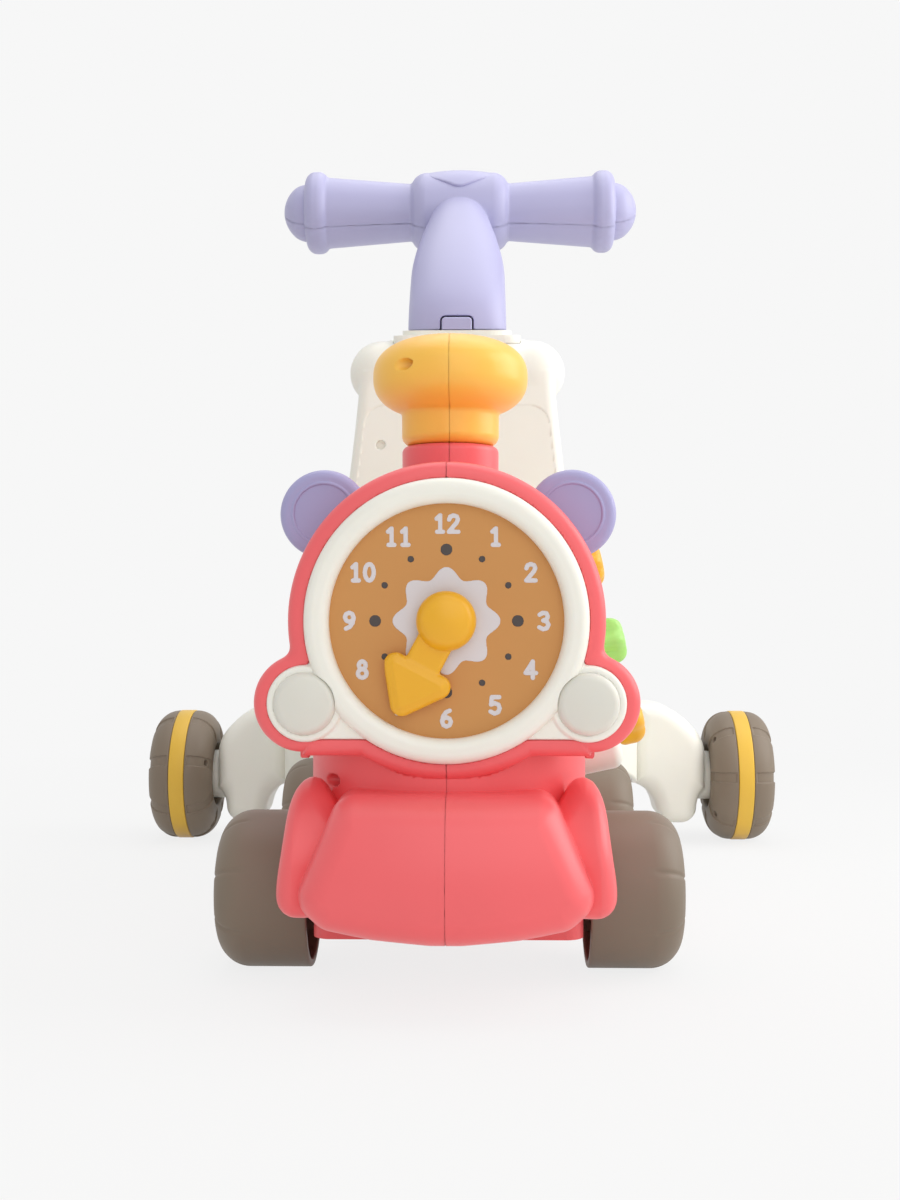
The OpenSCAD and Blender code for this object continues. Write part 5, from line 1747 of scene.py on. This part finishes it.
@dataclass
class PushHandle:
    """Push handle: a curved column and a bar, in an upper and a lower half."""

    foot: Point = SLEEVE
    hub: Point = (305.0, 433.0)
    lean_deg: float = 54.0
    foot_half: Point = (29.8, 19.0)
    arch: float = 14.0
    power: float = 2.3
    hub_half: float = 33.0
    hub_r: float = 26.0
    hub_round: float = 11.0
    grip_in: float = 18.9
    grip_out: float = 23.3
    flange_x: float = 88.6
    flange_w: float = 15.0
    flange_r: float = 27.0
    knob_r: float = 20.0
    bar_half: float = 119.0
    button_half: float = 9.0
    button_top: float = 7.4
    button_gap: float = 0.9
    button_ends: Point = (-20.3, -10.5)
    window_floor: float = -6.4
    pad_half: float = 21.5
    pad_l: float = 27.0
    pad_t: float = 1.6
    pad_deg: float = 55.0
    pad_r: float = 10.5

    def bend(self) -> np.ndarray:
        """Returns: where the column's end directions cross, as back and height."""
        a, b = SLEEVE_TILT, math.radians(self.lean_deg)
        start = np.array([-math.sin(a), math.cos(a)])
        end = np.array([math.sin(b), math.cos(b)])
        reach = np.array(self.hub) - np.array(self.foot)
        share = (reach[0] * end[1] - reach[1] * end[0]) / (start[0] * end[1] - start[1] * end[0])
        return np.array(self.foot) + share * start

    def along(self, b: np.ndarray, z: np.ndarray) -> tuple[np.ndarray, np.ndarray]:
        """Finds the nearest place on the column's middle line.

        Args:
            b: Place behind the front axle.
            z: Height.

        Returns:
            Share of the way from foot to hub, and distance to the upper side of the line.
        """
        p0, p1, p2 = np.array(self.foot), self.bend(), np.array(self.hub)
        best, near = np.zeros(np.broadcast(b, z).shape), np.full(np.broadcast(b, z).shape, np.inf)
        for t in np.linspace(0, 1, 33):
            c = (1 - t) ** 2 * p0 + 2 * t * (1 - t) * p1 + t * t * p2
            gap = (b - c[0]) ** 2 + (z - c[1]) ** 2
            best, near = np.where(gap < near, t, best), np.minimum(gap, near)
        curl = 2 * (p0 - 2 * p1 + p2)
        for _ in range(3):
            (cb, cz), (db, dz) = self.on_line(best, p0, p1, p2)
            top = (cb - b) * (2 * db) + (cz - z) * (2 * dz)
            low = (2 * db) ** 2 + (2 * dz) ** 2 + (cb - b) * curl[0] + (cz - z) * curl[1]
            best = np.clip(best - top / np.maximum(low, 1e3), 0, 1)
        (cb, cz), (db, dz) = self.on_line(best, p0, p1, p2)
        return best, ((z - cz) * db - (b - cb) * dz) / np.hypot(db, dz)

    def on_line(
        self, t: np.ndarray, p0: np.ndarray, p1: np.ndarray, p2: np.ndarray
    ) -> tuple[list[np.ndarray], list[np.ndarray]]:
        """Gives places on the column's middle line and half of its direction there."""
        spots = [(1 - t) ** 2 * p0[i] + 2 * t * (1 - t) * p1[i] + t**2 * p2[i] for i in (0, 1)]
        return spots, [(1 - t) * (p1 - p0)[i] + t * (p2 - p1)[i] for i in (0, 1)]

    def form(self, p: Spot) -> tuple[np.ndarray, np.ndarray]:
        """Measures the distance to the whole handle.

        Args:
            p: Places.

        Returns:
            Signed distance, and distance to the upper side of the seam.
        """
        x, y, z = p
        b = y - AXLE_Y
        t, off = self.along(b, z)
        wide = self.foot_half[0] - 1.2 * t - self.arch * np.clip(2 * t - 1, 0, 1) ** 1.9
        deep = self.foot_half[1] - t
        column = (np.abs(x) / wide) ** self.power + (np.abs(off) / deep) ** self.power
        column = (column ** (1 / self.power) - 1) * deep
        back, up = in_sleeve(p)
        column = soft_max(column, 0.15 - up, 0.8)
        lean = math.radians(self.lean_deg)
        past = (b - self.hub[0]) * math.sin(lean) + (z - self.hub[1]) * math.cos(lean)
        column = np.maximum(column, past - self.hub_r / 3)
        ax = np.abs(x)
        rho = np.hypot(b - self.hub[0], z - self.hub[1])
        hub = drawn(rho - self.hub_r, ax - self.hub_half, self.hub_round)
        share = np.clip((ax - self.hub_half) / (self.flange_x - self.hub_half), 0, 1)
        grip = drawn(rho - self.grip_in - (self.grip_out - self.grip_in) * share, ax - self.flange_x - 4, 0.5)
        end = self.flange_x + self.flange_w
        flange = drawn(rho - self.flange_r, between(ax, self.flange_x, end), 6.5)
        cap = self.bar_half - end
        ball = (self.knob_r**2 + cap**2) / (2 * cap)
        knob = np.maximum(np.hypot(ax - self.bar_half + ball, rho) - ball, ax - self.bar_half - 1)
        knob = soft_max(knob, rho - self.knob_r, 4.0)
        knob = np.maximum(knob, end - 6 - ax)
        bar = np.minimum(soft_min(grip, flange, 1.2), knob)
        bar = soft_min(bar, hub, 1.5)
        handle = soft_min(column, bar, 0.5)
        gap, tall = self.button_gap, self.button_top / 2 + 10
        window = rectangle(x, up - self.button_top / 2 + 10, self.button_half + gap, tall + gap, 3.0)
        window = drawn(window, np.maximum(back - self.window_floor, -60 - back), 0.2)
        return soft_max(handle, -window, 0.5), off

    def whole(self, p: Spot) -> np.ndarray:
        """Measures the distance to the handle before it is parted."""
        return self.form(p)[0]

    def half(self, sign: int, p: Spot) -> np.ndarray:
        """Measures the distance to the upper half, for 1, or to the lower half, for -1."""
        solid, off = self.form(p)
        return np.maximum(solid, SEAM - sign * off)

    def pad(self, p: Spot) -> np.ndarray:
        """Measures the distance to the raised pad on the hub.

        Args:
            p: Places.

        Returns:
            Signed distance.
        """
        x, y, z = p
        b, up = y - AXLE_Y - self.hub[0], z - self.hub[1]
        rho = np.hypot(b, up)
        round_the_hub = (np.arctan2(up, -b) - math.radians(self.pad_deg)) * self.hub_r
        r = self.pad_r
        top = self.pad_l / 2 - r
        flat = outline(x, round_the_hub, [(0, -top), (self.pad_half - r, top), (r - self.pad_half, top)], r)
        crown = self.hub_r + self.pad_t - 0.004 * x**2
        return drawn(flat, np.maximum(rho - crown, self.hub_r - 1 - rho), 1.0)

    def button(self, p: Spot) -> np.ndarray:
        """Measures the distance to the release button.

        Args:
            p: Places.

        Returns:
            Signed distance.
        """
        x = p[0]
        back, up = in_sleeve(p)
        face = rectangle(x, up - self.button_top / 2 + 1.2, self.button_half, self.button_top / 2 + 1.2, 2.4)
        return np.maximum(drawn(face, between(back, *self.button_ends), 1.0), 0.1 - up)

    def build(self) -> None:
        """Makes the halves, the pad and the button."""
        low = (-self.bar_half, AXLE_Y + 176, 330)
        high = (self.bar_half, AXLE_Y + 333, 463)
        for word, sign in (("upper", 1), ("lower", -1)):
            made = moulded(f"handle_{word}_shell", partial(self.half, sign), low, high, 0.95, self.whole)
            place(made, LAVENDER, Body.HANDLE, [f"handle_{word}"])
        low, high = (-21, AXLE_Y + 270, 436), (21, AXLE_Y + 325, 464)
        place(moulded("handle_pad_shell", self.pad, low, high, 0.5), LAVENDER, Body.HANDLE, ["handle_pad"])
        low, high = (-10, AXLE_Y + 178, 328), (10, AXLE_Y + 196, 346)
        made = moulded("release_button_cap", self.button, low, high, 0.4)
        place(made, LAVENDER, Body.RELEASE_BUTTON, ["release_button"])

    def dress(self) -> None:
        """Finishes the plug in the sleeve."""
        dress(["handle_plug"], LAVENDER)


@dataclass
class Studio:
    """Camera, soft lights and the pale surroundings."""

    camera_x: float = 14.86
    camera_y: float = -832.0
    camera_z: float = 170.5
    yaw_deg: float = 1.256
    lens: float = 43.5
    backdrop: str = "#F7F7F7"
    shade: float = 0.12
    world_light: float = 0.56
    floor_half: float = 6000.0

    def build(self) -> None:
        """Sets the camera, the lights, the floor and the world."""
        scene = bpy.context.scene
        scene.view_settings.view_transform = "Standard"
        camera = bpy.data.cameras.new("camera")
        camera.lens = self.lens
        camera.sensor_width = 36.0
        camera.clip_start = 0.01
        eye = bpy.data.objects.new("camera", camera)
        eye.location = Vector((self.camera_x, self.camera_y, self.camera_z)) * MM
        eye.rotation_euler = (math.pi / 2, 0, math.radians(self.yaw_deg))
        scene.collection.objects.link(eye)
        scene.camera = eye
        self.light("side softbox", (1.15, 0.0, 0.75), (0, 0, 0.2), 1.0, 9.5)
        self.light("front softbox", (0.3, -1.2, 0.85), (0, -0.05, 0.2), 1.2, 4.0)
        self.light("top softbox", (0.1, 0.15, 1.35), (0, 0, 0.2), 1.2, 6.0)
        self.floor()
        self.world()

    def light(
        self, name: str, at: Sequence[float], towards: Sequence[float], size: float, power: float
    ) -> None:
        """Hangs one softbox.

        Args:
            name: Light name.
            at: Its place in metres.
            towards: Point that it faces.
            size: Its width in metres.
            power: Its power in watts.
        """
        lamp = bpy.data.lights.new(name, "AREA")
        lamp.energy, lamp.size, lamp.shape = power, size, "SQUARE"
        thing = bpy.data.objects.new(name, lamp)
        thing.location = at
        thing.rotation_euler = (Vector(towards) - Vector(at)).to_track_quat("-Z", "Y").to_euler()
        bpy.context.scene.collection.objects.link(thing)

    def seen(self, tree: bpy.types.NodeTree) -> bpy.types.NodeSocket:
        """Finds the rays that show the backdrop: straight, mirrored or through glass.

        Args:
            tree: Node tree that asks.

        Returns:
            A socket that is 1 for these rays.
        """
        rays = add_node(tree, "ShaderNodeLightPath").outputs
        most = {"operation": "MAXIMUM"}
        some = add_node(tree, "ShaderNodeMath", most, {0: rays["Is Camera Ray"], 1: rays["Is Glossy Ray"]})
        every = add_node(tree, "ShaderNodeMath", most, {0: some.outputs[0], 1: rays["Is Transmission Ray"]})
        return every.outputs[0]

    def floor(self) -> None:
        """Lays a pale floor that keeps a faint shadow."""
        size = self.floor_half
        corners = np.array([(-size, -size, 0), (size, -size, 0), (size, size, 0), (-size, size, 0)])
        made = mesh_object("floor", corners, [[0, 1, 2, 3]])
        # Studio paper: matt, and lit so evenly that it shows almost no shade of its own
        paper = bpy.data.materials.new("studio paper, matt")
        paper.use_nodes = True
        tree = paper.node_tree
        tree.nodes.clear()
        matt = add_node(tree, "ShaderNodeBsdfDiffuse", {"Color": linear("#F4F4F2")}).outputs["BSDF"]
        glow = add_node(tree, "ShaderNodeEmission", {"Color": linear(self.backdrop), "Strength": 1.0})
        spot = add_node(tree, "ShaderNodeTexCoord").outputs["Object"]
        off = add_node(tree, "ShaderNodeVectorMath", {"operation": "LENGTH"}, {0: spot})
        fade = add_node(
            tree,
            "ShaderNodeMapRange",
            {"From Min": 0.3, "From Max": 0.9, "To Min": self.shade, "To Max": 0.0},
            {"Value": off.outputs["Value"]},
        )
        feeds = {"Fac": fade.outputs["Result"], 1: glow.outputs["Emission"], 2: matt}
        shade = add_node(tree, "ShaderNodeMixShader", None, feeds)
        feeds = {"Fac": self.seen(tree), 1: matt, 2: shade.outputs["Shader"]}
        mix = add_node(tree, "ShaderNodeMixShader", None, feeds)
        add_node(tree, "ShaderNodeOutputMaterial", None, {"Surface": mix.outputs["Shader"]})
        made.data.materials.append(paper)

    def world(self) -> None:
        """Gives the surroundings a pale light, and the rays that see it the backdrop's colour."""
        world = bpy.data.worlds.new("studio")
        bpy.context.scene.world = world
        world.use_nodes = True
        tree = world.node_tree
        tree.nodes.clear()
        shown = add_node(tree, "ShaderNodeBackground", {"Color": linear(self.backdrop), "Strength": 1.0})
        pale = {"Color": linear("#FFFFFF"), "Strength": self.world_light}
        lit = add_node(tree, "ShaderNodeBackground", pale)
        feeds = {"Fac": self.seen(tree), 1: lit.outputs["Background"], 2: shown.outputs["Background"]}
        mix = add_node(tree, "ShaderNodeMixShader", None, feeds)
        add_node(tree, "ShaderNodeOutputWorld", None, {"Surface": mix.outputs["Shader"]})


def main() -> None:
    """Builds the train piece by piece, then the studio."""
    logging.basicConfig(level=logging.INFO, format="%(message)s")
    boiler = Boiler()
    for part in (
        Rollers(),
        RearWheels(),
        Pan(),
        Bumper(),
        boiler,
        ClockFace(boiler),
        Ears(),
        Chimney(),
        SideSpinners(boiler),
        Seat(),
        Backrest(),
        RearDeck(),
        PushHandle(),
        Studio(),
    ):
        LOG.info("%s", type(part).__name__)
        if hasattr(part, "build"):
            part.build()
        if hasattr(part, "dress"):
            part.dress()


if __name__ == "__main__":
    main()
